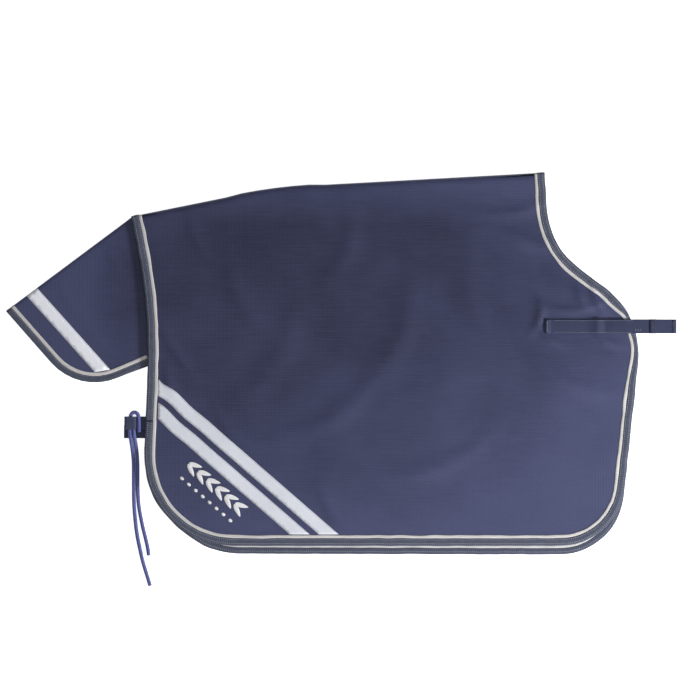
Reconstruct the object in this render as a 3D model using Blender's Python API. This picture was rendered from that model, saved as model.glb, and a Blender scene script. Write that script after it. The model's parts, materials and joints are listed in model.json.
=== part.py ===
"""Ride-on turnout rug, folded in half along its back seam and laid flat.

Metres, +Z up. +X points to the horse's front, +Y to its back line. The off half lies on the floor
with its outer face down, the near half lies on it with its outer face up, and the tail flap is
folded between them. The hinge lines of the fold, of the flap's seam and of the flap's own fold
all meet at one point, the dock.
"""

import math

import bmesh
import bpy
import numpy as np

# Outline of one half, measured along X and Y
BACK_LENGTH = 0.805          # along X, from the rump to the front end of the back line
HALF_DROP = 0.727            # from the front end of the back line down to the near hem
OFF_HANG = 0.018             # how much lower the off hem lies
RUMP_FALL = 0.086            # how far the back line falls to the rump
CROUP_FROM_REAR = 0.280      # where the back line starts to fall faster
CROUP_FALL = 0.029
CROUP_RADIUS = 1.36
CUT_DEPTH = 0.145            # depth of the saddle cut-away below the back line
CUT_FORWARD = 0.008
CUT_RADIUS = 0.156
CHEST_FORWARD = 0.192        # how far the chest reaches in front of the back line
CHEST_DEPTH = 0.278
CHEST_RADIUS = 0.162
FRONT_FORWARD = 0.143        # front edge at the hem, in front of the back line
FRONT_RADIUS = 0.125
HIND_FORWARD = 0.018         # rear edge at the hem, in front of the rump
HIND_RADIUS = 0.174
WAIST_FORWARD = 0.0376       # the rear edge's inmost bow
WAIST_DEPTH = 0.171
WAIST_RADIUS = 1.06
HEM_Y = -0.3543              # near hem's place in the frame
REAR_X = -0.4089             # rump's place in the frame

# Tail flap
FLAP_SLOPE = math.radians(36.7)
FLAP_LENGTH = 0.306          # along its fold
FLAP_HEM_BACK = 0.102        # lowest corner of the flap's hem, behind and below the rump
FLAP_HEM_DROP = 0.346
FLAP_HEM_RADIUS = 0.113
FLAP_ROOT_RISE = math.radians(22.8)
SEAM_LEAN = math.radians(8.1)  # the flap's seam line from straight down
DOCK_INSET = 0.0086          # the dock, inside the rump corner
DOCK_RISE = 0.0045

# Cloth and tapes
GAP = 0.0003
SHELL = 0.0009
LINING = 0.0013
TAPE = 0.0012                # bound edge, one wall
BINDING = 0.0150             # its width
PIPING = 0.0068
PIPING_THICK = 0.0009
FLAP_SHELL = 0.0007
FLAP_LINING = 0.0007
FLAP_TAPE = 0.0006
FLAP_BINDING = 0.0125
FLAP_TRIM = 0.0004           # flap piping and flap tape
STRIP_THICK = 0.0004
STRIP_WIDTH = 0.0255         # reflective tape
STRIP_SPACE = 0.0115
SEAM_ALLOWANCE = 0.008
FOLD_CLEAR = 0.002           # near half below the fold line
CROWN_CLEAR = 0.0105         # near crown above the fold line, so the near half can swing up
FLAP_CLEAR = 0.0010          # flap cloth from its hinge lines
ROOT_CLEAR = 0.0020          # near flap short of the near half's edge, where the linkage is open
END_CLEAR = 0.004
SEAM_END = 0.024             # seam allowance stops this far from the ends of the back line
ROOT_DEPTH = 0.291           # flap hem meets the near half's edge this far below the rump
SELVEDGE = 0.0015
FOLD_FRONT_RISE = 0.0014     # fold line above the front end of the back line
SEAM_CLEAR = 0.0009          # seam allowance below the near half, so that it can swing up
JOIN_STEP = 0.0004           # least distance between points where two outlines join
ARC_STEP = math.radians(9)   # turn between the points of a rounded corner
ARC_LEAST = 6                # steps in the gentlest corner

# Reflective tapes on the rear corner and across the flap
STRIP_ON_HEM = 0.328         # lower tape's centre line where it meets the hem's piping, from the rump
STRIP_SLOPE = math.radians(-41.0)
FLAP_STRIP_BACK = 0.063      # flap tape's centre line along the flap's fold, from its tip
FLAP_STRIP_SLOPE = math.radians(-48.2)

# Embroidered plait in the rear corner
PLAIT_LENGTH = 0.150
PLAIT_WIDTH = 0.022
PLAIT_LEAVES = 6
PLAIT_NECK = 0.0025
LEAF_FULLNESS = 0.8          # below 1 makes rounder leaves
LEAF_STEPS = 8
PLAIT_THICK = 0.0006
PLAIT_FROM_STRIP = 0.038     # its centre line below the lower tape's
PLAIT_BACK = 0.182           # its middle, back along the tape from the hem
LINE_LENGTH = 0.132
LINE_WIDTH = 0.0075
LINE_STEP = 0.030

# Front strap
STRAP_WIDTH = 0.0275
STRAP_THICK = 0.0013
STRAP_DEPTH = 0.300          # its centre line below the front end of the back line
STRAP_SEWN = 0.174           # length sewn to the rug, back from the front edge
STRAP_FREE = 0.079           # length in front of the front edge
STRAP_RAMP = 0.012           # length in which it climbs over the piping
STRAP_LEAD = 0.004           # it is up this far before the piping
HOOK_LENGTH = 0.036
HOOK_THICK = 0.0008
LANDING_LENGTH = 0.110       # touch-close landing on the off side
LANDING_WIDTH = 0.048
LANDING_THICK = 0.0008

# Tail cords and their loops
LOOP_DEPTH = 0.402           # loop's centre below the rump
LOOP_WIDTH = 0.0255
LOOP_OUT = 0.0412            # how far the loop stands out from the rear edge
LOOP_INNER = 0.0179          # where its ring ends and its sewn tail begins
LOOP_TAPE = 0.0011
LOOP_HEIGHT = 0.0078         # inside the ring: the cord and its clearance
LOOP_ROOT = 0.004            # tail under the bound edge
OFF_TAB_DEPTH = 0.419
OFF_TAB_OUT = 0.042
CORD = 0.0066
RING_STEPS = 10              # in each half turn of the loop
LONG_CORD = (
    (-0.3936, -0.1323, 0.0168), (-0.3937, -0.1223, 0.0168), (-0.3938, -0.1123, 0.0169),
    (-0.3942, -0.1033, 0.0170), (-0.3960, -0.0973, 0.0171), (-0.4020, -0.0938, 0.0171),
    (-0.4080, -0.0968, 0.0171), (-0.4105, -0.1043, 0.0171), (-0.4114, -0.1153, 0.0171),
    (-0.4115, -0.1273, 0.0169), (-0.4107, -0.1393, 0.0160), (-0.4091, -0.1503, 0.0135),
    (-0.4073, -0.1623, 0.0104), (-0.4059, -0.1753, 0.0072), (-0.4049, -0.1893, 0.0048),
    (-0.4046, -0.2043, 0.0036), (-0.4046, -0.2243, 0.0035), (-0.4045, -0.2443, 0.0035),
    (-0.4043, -0.2643, 0.0035), (-0.4033, -0.2853, 0.0035), (-0.4015, -0.3053, 0.0035),
    (-0.3994, -0.3243, 0.0035), (-0.3962, -0.3433, 0.0035), (-0.3920, -0.3633, 0.0035),
    (-0.3873, -0.3833, 0.0035), (-0.3818, -0.4023, 0.0035), (-0.3760, -0.4208, 0.0035),
    (-0.3727, -0.4323, 0.0035),
)
SHORT_CORD = (
    (-0.4040, -0.1073, 0.0171), (-0.4040, -0.1173, 0.0171), (-0.4038, -0.1283, 0.0169),
    (-0.4029, -0.1393, 0.0160), (-0.4013, -0.1503, 0.0135), (-0.3995, -0.1623, 0.0104),
    (-0.3981, -0.1753, 0.0072), (-0.3973, -0.1893, 0.0048), (-0.3970, -0.2043, 0.0036),
    (-0.3970, -0.2243, 0.0035), (-0.3968, -0.2443, 0.0035), (-0.3959, -0.2633, 0.0035),
    (-0.3936, -0.2833, 0.0035), (-0.3899, -0.3033, 0.0035), (-0.3859, -0.3223, 0.0035),
    (-0.3811, -0.3413, 0.0035), (-0.3771, -0.3593, 0.0035), (-0.3752, -0.3733, 0.0035),
)


def clear_scene():
    for obj in list(bpy.data.objects):
        bpy.data.objects.remove(obj, do_unlink=True)


def unit(v):
    return v / np.hypot(*v)


def rounded(corners, radii):
    """Polyline through the corners, each turned with an arc of its radius."""
    corners = [np.array(c, float) for c in corners]
    points = [corners[0]]
    for before, here, after, radius in zip(corners, corners[1:], corners[2:], radii):
        a, b = unit(before - here), unit(after - here)
        half = math.acos(np.clip(a @ b, -1, 1)) / 2
        reach = radius / math.tan(half)
        centre = here + unit(a + b) * radius / math.sin(half)
        start, end = here + a * reach - centre, here + b * reach - centre
        turn = math.atan2(start[0] * end[1] - start[1] * end[0], start @ end)
        steps = max(ARC_LEAST, round(abs(turn) / ARC_STEP))
        for k in range(steps + 1):
            c, s = math.cos(turn * k / steps), math.sin(turn * k / steps)
            points.append(centre + np.array([c * start[0] - s * start[1], s * start[0] + c * start[1]]))
    points.append(corners[-1])
    return np.array(points)


def inward(points, distance):
    """The path moved to its left by a distance, which is inwards on a path that runs anticlockwise."""
    steps = np.diff(points, axis=0)
    normals = np.stack([-steps[:, 1], steps[:, 0]], 1) / np.hypot(*steps.T)[:, None]
    joined = np.vstack([normals[:1], normals[:-1] + normals[1:], normals[-1:]])
    joined /= np.hypot(*joined.T)[:, None]
    lean = np.vstack([normals[:1], normals])
    return points + joined * distance / np.einsum("ij,ij->i", joined, lean)[:, None]


def clip(points, origin, normal, space=0.0):
    """The stretch of an open path on the side of a line that the normal points to."""
    side = (points - origin) @ normal - space
    kept = []
    for i, here in enumerate(points):
        if i and side[i] * side[i - 1] < 0:
            t = side[i - 1] / (side[i - 1] - side[i])
            kept.append(points[i - 1] + t * (here - points[i - 1]))
        if side[i] > 0:
            kept.append(here)
    return np.array(kept)


def half_path(hem_y):
    """Edge of one half from the front end of the back line, round the hem, to the rump."""
    front_x = REAR_X + BACK_LENGTH
    top_y = HEM_Y + HALF_DROP
    rump_y = top_y - RUMP_FALL
    corners = [
        (front_x, top_y),
        (front_x + CUT_FORWARD, top_y - CUT_DEPTH),
        (front_x + CHEST_FORWARD, top_y - CHEST_DEPTH),
        (front_x + FRONT_FORWARD, hem_y),
        (REAR_X + HIND_FORWARD, hem_y),
        (REAR_X + WAIST_FORWARD, rump_y - WAIST_DEPTH),
        (REAR_X, rump_y),
    ]
    radii = (CUT_RADIUS, CHEST_RADIUS, FRONT_RADIUS, HIND_RADIUS, WAIST_RADIUS)
    return rounded(corners, radii)[::-1]


NEAR_PATH = half_path(HEM_Y)
OFF_PATH = half_path(HEM_Y - OFF_HANG)
RUMP = NEAR_PATH[0]
BACK_FRONT = NEAR_PATH[-1]
BACK_LINE = rounded(
    [BACK_FRONT, (REAR_X + CROUP_FROM_REAR, BACK_FRONT[1] - CROUP_FALL), RUMP], (CROUP_RADIUS,)
)
DOCK = RUMP + np.array([DOCK_INSET, DOCK_RISE])
FOLD_DIR = unit(BACK_FRONT + np.array([0.0, FOLD_FRONT_RISE]) - DOCK)
FOLD_DOWN = np.array([FOLD_DIR[1], -FOLD_DIR[0]])
SEAM_DIR = np.array([math.sin(SEAM_LEAN), -math.cos(SEAM_LEAN)])
SEAM_REAR = np.array([SEAM_DIR[1], -SEAM_DIR[0]])
FLAP_DIR = np.array([-math.cos(FLAP_SLOPE), -math.sin(FLAP_SLOPE)])
FLAP_DOWN = np.array([-FLAP_DIR[1], FLAP_DIR[0]])

# Layers from the floor up
HALF_THICK = 2 * TAPE + SHELL + LINING + 3 * GAP
FLAP_THICK = 2 * FLAP_TAPE + FLAP_SHELL + FLAP_LINING + 3 * GAP
FOLD_Z = HALF_THICK + FLAP_THICK + 1.5 * GAP
TOP_Z = 2 * FOLD_Z


def flip(low, high, near):
    """A layer's lowest and highest Z, the near half being the off half's mirror image."""
    return (TOP_Z - high, TOP_Z - low) if near else (low, high)


def link(obj, name, colour, roughness):
    obj.name = name
    material = bpy.data.materials.new(name)
    material.use_nodes = True
    shader = material.node_tree.nodes["Principled BSDF"]
    shader.inputs["Base Color"].default_value = (*colour, 1.0)
    shader.inputs["Roughness"].default_value = roughness
    shader.inputs["Metallic"].default_value = 0.0
    obj.data.materials.append(material)
    PARTS.objects.link(obj)
    return obj


def plate(name, outline, low, high, finish):
    """Flat piece: a closed 2D outline with its thickness."""
    curve = bpy.data.curves.new(name, "CURVE")
    curve.dimensions = "2D"
    curve.fill_mode = "BOTH"
    curve.extrude = (high - low) / 2
    spline = curve.splines.new("POLY")
    spline.points.add(len(outline) - 1)
    for point, (x, y) in zip(spline.points, outline):
        point.co = (x, y, 0.0, 1.0)
    spline.use_cyclic_u = True
    obj = bpy.data.objects.new(name, curve)
    obj.location.z = (low + high) / 2
    return link(obj, name, *finish)


def sweep(name, path, profile, finish):
    """Edge piece: a closed profile of (inward distance, Z) corners carried along an open path."""
    mesh = bmesh.new()
    tracks = [(inward(path, distance), z) for distance, z in profile]
    rings = [
        [mesh.verts.new((*track[i], z)) for track, z in tracks]
        for i in range(len(path))
    ]
    for ring, following in zip(rings, rings[1:]):
        for k in range(len(ring)):
            j = (k + 1) % len(ring)
            mesh.faces.new((ring[k], ring[j], following[j], following[k]))
    mesh.faces.new(rings[0])
    mesh.faces.new(rings[-1])
    bmesh.ops.recalc_face_normals(mesh, faces=mesh.faces)
    data = bpy.data.meshes.new(name)
    mesh.to_mesh(data)
    mesh.free()
    return link(bpy.data.objects.new(name, data), name, *finish)


def channel(low, high, wall, width):
    """Profile of a tape folded over an edge."""
    return [
        (0.0, low), (width, low), (width, low + wall), (wall, low + wall),
        (wall, high - wall), (width, high - wall), (width, high), (0.0, high),
    ]


def block(low, high):
    """Profile of a flat strip between two (distance, Z) corners."""
    return [low, (high[0], low[1]), high, (low[0], high[1])]


NAVY = ((0.050, 0.056, 0.120), 0.55)
NAVY_LINING = ((0.035, 0.040, 0.085), 0.85)
SLATE = ((0.080, 0.092, 0.145), 0.70)
GREY = ((0.58, 0.56, 0.54), 0.60)
SILVER = ((0.64, 0.67, 0.76), 0.35)
WEBBING = ((0.055, 0.062, 0.135), 0.60)
HOOK = ((0.030, 0.035, 0.060), 0.90)
CORD_BLUE = ((0.090, 0.105, 0.320), 0.60)
WHITE = ((0.85, 0.85, 0.86), 0.60)

PARTS = bpy.data.collections.new("turnout_rug")


def half_layers(side):
    """Z of one half's layers: outer cloth, lining and the level of the trims on the outer cloth."""
    near = side == "near"
    cloth = flip(TAPE + GAP, TAPE + GAP + SHELL, near)
    lining = flip(TAPE + 2 * GAP + SHELL, HALF_THICK - TAPE - GAP, near)
    return cloth, lining


def trim_layer(side, thick):
    return flip(TAPE - thick, TAPE, side == "near")


def edge_run(side):
    """The bound edge's path, stopped short of the fold line at both ends."""
    path = NEAR_PATH if side == "near" else OFF_PATH
    return clip(path, DOCK, FOLD_DOWN, END_CLEAR + FOLD_CLEAR)


def cloth_outline(side):
    """Outline of the cloth inside the bound edge."""
    path = NEAR_PATH if side == "near" else OFF_PATH
    run = inward(path, TAPE + GAP)
    if side == "near":
        return clip(run, DOCK, FOLD_DOWN, FOLD_CLEAR)
    top = inward(BACK_LINE, GAP)
    first = clip(top, run[-1] - np.array([JOIN_STEP, 0]), np.array([-1.0, 0.0]))
    last = clip(first, run[0] + np.array([JOIN_STEP, 0]), np.array([1.0, 0.0]))
    return np.vstack([clip(run, DOCK, FOLD_DOWN, FOLD_CLEAR), last])


def build_half(side):
    near = side == "near"
    cloth, lining = half_layers(side)
    outline = cloth_outline(side)
    plate(f"{side}_shell", outline, *cloth, NAVY)
    plate(f"{side}_lining", outline, *lining, NAVY_LINING)
    low, high = flip(0.0, HALF_THICK, near)
    sweep(f"{side}_binding", edge_run(side), channel(low, high, TAPE, BINDING), SLATE)
    low, high = trim_layer(side, PIPING_THICK)
    profile = block((BINDING + GAP, low), (BINDING + GAP + PIPING, high))
    sweep(f"{side}_piping", edge_run(side), profile, GREY)


def build_back_seam():
    """Upper edge of the near half above the fold line, and the seam allowance inside the fold."""
    low, high = flip(TAPE + GAP, HALF_THICK - TAPE - GAP, True)
    crown = clip(inward(BACK_LINE, GAP), DOCK, -FOLD_DOWN, CROWN_CLEAR)
    plate("near_crown", crown, low, high, NAVY)
    run = clip(BACK_LINE, RUMP, np.array([1.0, 0.0]), SEAM_END)
    run = clip(run, BACK_FRONT, np.array([-1.0, 0.0]), SEAM_END)
    profile = block((GAP, HALF_THICK + GAP), (GAP + SEAM_ALLOWANCE, TOP_Z - HALF_THICK - SEAM_CLEAR))
    sweep("back_seam", run, profile, NAVY_LINING)


def band(centre, direction, width, outline):
    """Outline of a straight tape that crosses a closed outline from side to side."""
    across = np.array([-direction[1], direction[0]])
    ring = np.vstack([outline, outline[:1]])
    corners = []
    for offset, order in ((-width / 2, 1), (width / 2, -1)):
        line = centre + across * offset
        side = (ring - line) @ across
        hits = []
        for i in range(1, len(ring)):
            if side[i] * side[i - 1] < 0:
                t = side[i - 1] / (side[i - 1] - side[i])
                point = ring[i - 1] + t * (ring[i] - ring[i - 1])
                hits.append(((point - line) @ direction, point))
        hits.sort(key=lambda hit: hit[0])
        corners += [hits[0][1], hits[-1][1]][::order]
    return np.array(corners)


def strip_frame(side):
    """Where the lower tape's centre line meets the hem's piping, its direction and the way up from it."""
    hem_y = HEM_Y if side == "near" else HEM_Y - OFF_HANG
    start = np.array([REAR_X + STRIP_ON_HEM, hem_y + BINDING + PIPING + 2 * GAP])
    direction = np.array([math.cos(STRIP_SLOPE), math.sin(STRIP_SLOPE)])
    return start, direction, np.array([-direction[1], direction[0]])


def build_strips(side):
    inner = inward(edge_run(side), BINDING + PIPING + 2 * GAP)
    start, direction, up = strip_frame(side)
    low, high = trim_layer(side, STRIP_THICK)
    for name, step in (("lower", 0), ("upper", 1)):
        centre = start + up * step * (STRIP_WIDTH + STRIP_SPACE)
        outline = band(centre, direction, STRIP_WIDTH, inner)
        plate(f"{side}_strip_{name}", outline, low, high, SILVER)


def build_emblem():
    """A plait of leaf shapes with a plain line under it, embroidered along the tapes."""
    start, direction, up = strip_frame("near")
    middle = start - direction * PLAIT_BACK - up * PLAIT_FROM_STRIP
    low, high = trim_layer("near", PLAIT_THICK)
    steps = PLAIT_LEAVES * LEAF_STEPS
    edge = []
    for k in range(steps + 1):
        swell = abs(math.sin(math.pi * PLAIT_LEAVES * k / steps)) ** LEAF_FULLNESS
        reach = PLAIT_NECK + (PLAIT_WIDTH / 2 - PLAIT_NECK) * swell
        edge.append((PLAIT_LENGTH * (k / steps - 0.5), reach))
    outline = [middle + direction * u - up * v for u, v in edge]
    outline += [middle + direction * u + up * v for u, v in edge[::-1]]
    plate("near_plait", outline, low, high, WHITE)
    middle = middle - up * LINE_STEP
    corners = ((-1, -1), (1, -1), (1, 1), (-1, 1))
    outline = [middle + direction * u * LINE_LENGTH / 2 + up * v * LINE_WIDTH / 2 for u, v in corners]
    plate("near_plait_line", outline, low, high, WHITE)


def flap_edge(side):
    """Bound edge of one half of the tail flap, from its tip on the fold to its root at the seam."""
    tip = RUMP + FLAP_DIR * FLAP_LENGTH
    low = RUMP - np.array([FLAP_HEM_BACK, FLAP_HEM_DROP])
    rise = np.array([math.cos(FLAP_ROOT_RISE), math.sin(FLAP_ROOT_RISE)])
    path = rounded([tip, low, low + rise * FLAP_HEM_DROP], (FLAP_HEM_RADIUS,))
    return clip(clip(path, DOCK, FLAP_DOWN, FLAP_CLEAR), *flap_root(side))


def flap_root(side):
    """Line that the flap's cloth ends on: the seam's hinge line, or short of the near half's edge."""
    if side == "off":
        return DOCK, SEAM_REAR, FLAP_CLEAR
    rear_edge = NEAR_PATH[:len(NEAR_PATH) // 3]
    hem = rear_edge[np.argmin(np.abs(rear_edge[:, 1] - (RUMP[1] - ROOT_DEPTH)))]
    down = unit(hem - RUMP)
    return RUMP, np.array([down[1], -down[0]]), ROOT_CLEAR


def flap_outline(side):
    inner = clip(inward(flap_edge(side), FLAP_TAPE + GAP), DOCK, FLAP_DOWN, FLAP_CLEAR)
    origin, rear, space = flap_root(side)
    line = origin + rear * space
    along = np.array([-rear[1], rear[0]])
    fold = DOCK + FLAP_DOWN * FLAP_CLEAR
    reach = ((fold - line) @ FLAP_DOWN) / (along @ FLAP_DOWN)
    return np.vstack([inner, line + along * reach])


def build_flap(side):
    near = side == "near"
    base = HALF_THICK + GAP
    outline = flap_outline(side)
    low = base + FLAP_TAPE + GAP
    plate(f"{side}_flap_shell", outline, *flip(low, low + FLAP_SHELL, near), NAVY)
    low += FLAP_SHELL + GAP
    plate(f"{side}_flap_lining", outline, *flip(low, low + FLAP_LINING, near), NAVY_LINING)
    run = flap_edge(side)
    low, high = flip(base, base + FLAP_THICK, near)
    sweep(f"{side}_flap_binding", run, channel(low, high, FLAP_TAPE, FLAP_BINDING), SLATE)
    trim = flip(base + FLAP_TAPE - FLAP_TRIM, base + FLAP_TAPE, near)
    inset = FLAP_BINDING + GAP
    sweep(f"{side}_flap_piping", run, block((inset, trim[0]), (inset + PIPING, trim[1])), GREY)
    edge = inward(run, inset + PIPING + GAP)
    edge = clip(edge, DOCK, FLAP_DOWN, FLAP_CLEAR)
    direction = np.array([math.cos(FLAP_STRIP_SLOPE), math.sin(FLAP_STRIP_SLOPE)])
    start = RUMP + FLAP_DIR * (FLAP_LENGTH - FLAP_STRIP_BACK)
    shape = band(start, direction, STRIP_WIDTH, np.vstack([edge, outline[-1:]]))
    plate(f"{side}_flap_strip", shape, *trim, SILVER)


def side_plate(name, rings, centre_y, width, finish):
    """Piece with one outline in the XZ plane and its width along Y; inner rings are holes."""
    curve = bpy.data.curves.new(name, "CURVE")
    curve.dimensions = "2D"
    curve.fill_mode = "BOTH"
    curve.extrude = width / 2
    for ring in rings:
        spline = curve.splines.new("POLY")
        spline.points.add(len(ring) - 1)
        for point, (x, z) in zip(spline.points, ring):
            point.co = (x, z, 0.0, 1.0)
        spline.use_cyclic_u = True
    obj = bpy.data.objects.new(name, curve)
    obj.rotation_euler.x = math.pi / 2
    obj.location.y = centre_y
    return link(obj, name, *finish)


def edge_x(path, y, forward):
    """X of the edge at a height in the plan: the foremost crossing, or the rearmost."""
    found = []
    for a, b in zip(path, path[1:]):
        if (a[1] - y) * (b[1] - y) <= 0 and a[1] != b[1]:
            found.append(a[0] + (b[0] - a[0]) * (y - a[1]) / (b[1] - a[1]))
    return max(found) if forward else min(found)


def build_strap():
    y = BACK_FRONT[1] - STRAP_DEPTH
    edges = [edge_x(NEAR_PATH, y + s * STRAP_WIDTH / 2, True) for s in (-1, 0, 1)]
    hinge_x = max(edges) + GAP
    flat = TOP_Z - TAPE
    raised = TOP_Z + GAP
    over = min(edges) - BINDING - PIPING - STRAP_LEAD
    lower = [(hinge_x - STRAP_SEWN, flat), (over - STRAP_RAMP, flat), (over, raised), (hinge_x, raised)]
    outline = lower + [(x, z + STRAP_THICK) for x, z in lower[::-1]]
    side_plate("near_strap_sewn", [outline], y, STRAP_WIDTH, WEBBING)
    start, end = hinge_x + GAP, hinge_x + STRAP_FREE
    outline = [(start, raised), (end, raised), (end, raised + STRAP_THICK), (start, raised + STRAP_THICK)]
    side_plate("near_strap_end", [outline], y, STRAP_WIDTH, WEBBING)
    low, high = raised - GAP - HOOK_THICK, raised - GAP
    outline = [(end - HOOK_LENGTH, low), (end - GAP, low), (end - GAP, high), (end - HOOK_LENGTH, high)]
    side_plate("near_strap_hook", [outline], y, STRAP_WIDTH - 2 * SELVEDGE, HOOK)
    low, high = trim_layer("off", LANDING_THICK)
    x = hinge_x - STRAP_SEWN
    corners = ((0, -1), (LANDING_LENGTH, -1), (LANDING_LENGTH, 1), (0, 1))
    plate("off_landing", [(x + u, y + v * LANDING_WIDTH / 2) for u, v in corners], low, high, HOOK)
    return (hinge_x, y, raised + STRAP_THICK + GAP)


def arc(centre, radius, start, end, steps):
    angles = [math.radians(start + (end - start) * k / steps) for k in range(steps + 1)]
    return [(centre[0] + radius * math.cos(a), centre[1] + radius * math.sin(a)) for a in angles]


def build_cord_loops():
    y = RUMP[1] - LOOP_DEPTH
    edge = edge_x(NEAR_PATH, y, False)
    low = TOP_Z - HALF_THICK - GAP - LOOP_TAPE
    inner = LOOP_HEIGHT / 2
    outer = inner + LOOP_TAPE
    middle = low + outer
    left = edge - LOOP_OUT + outer
    right = edge - LOOP_INNER
    ring = arc((left, middle), outer, 270, 90, RING_STEPS)
    ring += arc((right - outer, middle), outer, 90, 0, RING_STEPS // 2)
    ring += [(right, low + LOOP_TAPE), (edge + LOOP_ROOT, low + LOOP_TAPE), (edge + LOOP_ROOT, low)]
    hole = arc((left, middle), inner, 90, 270, RING_STEPS)
    hole += arc((right - outer, middle), inner, -90, 90, RING_STEPS)
    side_plate("near_cord_loop", [ring, hole], y, LOOP_WIDTH, WEBBING)
    y = RUMP[1] - OFF_TAB_DEPTH
    edge = edge_x(OFF_PATH, y, False)
    low = HALF_THICK + GAP
    high = low + 2 * LOOP_TAPE
    start, end = edge - OFF_TAB_OUT, edge + LOOP_ROOT
    outline = [(start, low), (end, low), (end, high), (start, high)]
    side_plate("off_cord_tab", [outline], y, LOOP_WIDTH, WEBBING)


def smooth(route, steps):
    """Points on a smooth curve through the route's points."""
    route = [np.array(p) for p in route]
    padded = [2 * route[0] - route[1]] + route + [2 * route[-1] - route[-2]]
    points = []
    for a, b, c, d in zip(padded, padded[1:], padded[2:], padded[3:]):
        for k in range(steps):
            t = k / steps
            points.append(0.5 * (2 * b + (c - a) * t + (2 * a - 5 * b + 4 * c - d) * t**2
                                 + (3 * b - a - 3 * c + d) * t**3))
    return points + [route[-1]]


def build_cord(name, route):
    curve = bpy.data.curves.new(name, "CURVE")
    curve.dimensions = "3D"
    curve.bevel_depth = CORD / 2
    curve.bevel_resolution = 2
    curve.use_fill_caps = True
    points = smooth(route, 2)
    spline = curve.splines.new("POLY")
    spline.points.add(len(points) - 1)
    for point, co in zip(spline.points, points):
        point.co = (*co, 1.0)
    return link(bpy.data.objects.new(name, curve), name, *CORD_BLUE)


def carry(name, place, prefixes):
    """An empty on a joint's axis, which carries the pieces that move with it."""
    empty = bpy.data.objects.new(name, None)
    empty.location = place
    PARTS.objects.link(empty)
    bpy.context.view_layer.update()
    for obj in PARTS.objects:
        if obj.type != "EMPTY" and obj.parent is None and obj.name.startswith(prefixes):
            obj.parent = empty
            obj.matrix_parent_inverse = empty.matrix_world.inverted()


clear_scene()
bpy.context.scene.collection.children.link(PARTS)
for half in ("off", "near"):
    build_half(half)
    build_strips(half)
    build_flap(half)
build_back_seam()
build_emblem()
strap_hinge = build_strap()
build_cord_loops()
build_cord("tail_cord_long", LONG_CORD)
build_cord("tail_cord_short", SHORT_CORD)
dock = (*DOCK, FOLD_Z)
carry("strap_end_axis", strap_hinge, ("near_strap_end", "near_strap_hook"))
carry("near_flap_axis", dock, ("near_flap",))
carry("off_flap_axis", dock, ("off_flap",))
carry("back_fold_axis", dock, ("near_shell", "near_lining", "near_binding", "near_piping", "near_strip",
                               "near_plait", "near_strap_sewn", "near_cord_loop", "tail_cord"))
print("dock", [round(v, 5) for v in dock], "fold", FOLD_DIR, "seam", SEAM_DIR, "flap", FLAP_DIR)
print("strap hinge", strap_hinge, "half thickness", HALF_THICK, "top", TOP_Z)
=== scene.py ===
# %% [markdown]
# # A ride-on turnout rug, folded and laid flat
# The rug is two mirrored halves of navy ripstop, sewn along the back and bound round the edge. It lies
# folded, near half on top, with the tail flap folded between the halves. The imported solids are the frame:
# they say where each edge, tape and joint is. This script makes the cloth, tapes and cords that are seen.

# %% Load the frame
import json
import math

import bmesh
import bpy
import numpy as np
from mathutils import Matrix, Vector, noise
from mathutils.geometry import delaunay_2d_cdt


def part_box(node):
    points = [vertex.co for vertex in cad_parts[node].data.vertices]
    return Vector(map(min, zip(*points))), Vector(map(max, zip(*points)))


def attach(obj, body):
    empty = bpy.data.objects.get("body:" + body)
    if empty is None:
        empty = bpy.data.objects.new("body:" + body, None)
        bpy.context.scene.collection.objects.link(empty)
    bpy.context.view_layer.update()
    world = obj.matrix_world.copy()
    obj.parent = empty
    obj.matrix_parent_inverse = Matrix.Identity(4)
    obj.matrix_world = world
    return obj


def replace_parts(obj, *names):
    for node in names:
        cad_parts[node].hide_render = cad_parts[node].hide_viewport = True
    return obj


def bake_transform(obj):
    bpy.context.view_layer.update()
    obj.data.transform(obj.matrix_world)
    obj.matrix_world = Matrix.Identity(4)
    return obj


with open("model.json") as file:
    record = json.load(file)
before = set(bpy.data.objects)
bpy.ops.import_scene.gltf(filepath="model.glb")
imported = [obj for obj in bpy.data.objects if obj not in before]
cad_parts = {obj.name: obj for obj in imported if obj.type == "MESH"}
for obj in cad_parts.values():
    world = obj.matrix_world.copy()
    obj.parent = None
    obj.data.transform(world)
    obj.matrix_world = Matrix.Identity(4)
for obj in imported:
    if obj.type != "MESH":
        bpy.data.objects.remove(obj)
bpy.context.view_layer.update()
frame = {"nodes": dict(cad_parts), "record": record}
JOINTS = {joint["name"]: joint for joint in frame["record"]["behaviour"]["joints"]}
MM = 0.001

# %% [markdown]
# ## Camera first
# The rug is seen from straight above. A long lens far away keeps its sides parallel, so the shape reads
# like a cutting pattern. The camera stands at a given point over the folded rug.

# %% The camera
VIEW_WIDTH = 1.365
CAMERA_HEIGHT = 7.0
CAMERA_OFF_CENTRE = (0.0170, 0.0268)

camera_data = bpy.data.cameras.new("camera")
camera_data.sensor_width = 36.0
camera_data.lens = camera_data.sensor_width * CAMERA_HEIGHT / VIEW_WIDTH
camera_data.clip_end = 50.0
camera = bpy.data.objects.new("camera", camera_data)
camera.location = (*CAMERA_OFF_CENTRE, CAMERA_HEIGHT)
bpy.context.scene.collection.objects.link(camera)
bpy.context.scene.camera = camera
print("view", VIEW_WIDTH, "m wide, lens", round(camera_data.lens, 1), "mm")
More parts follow.
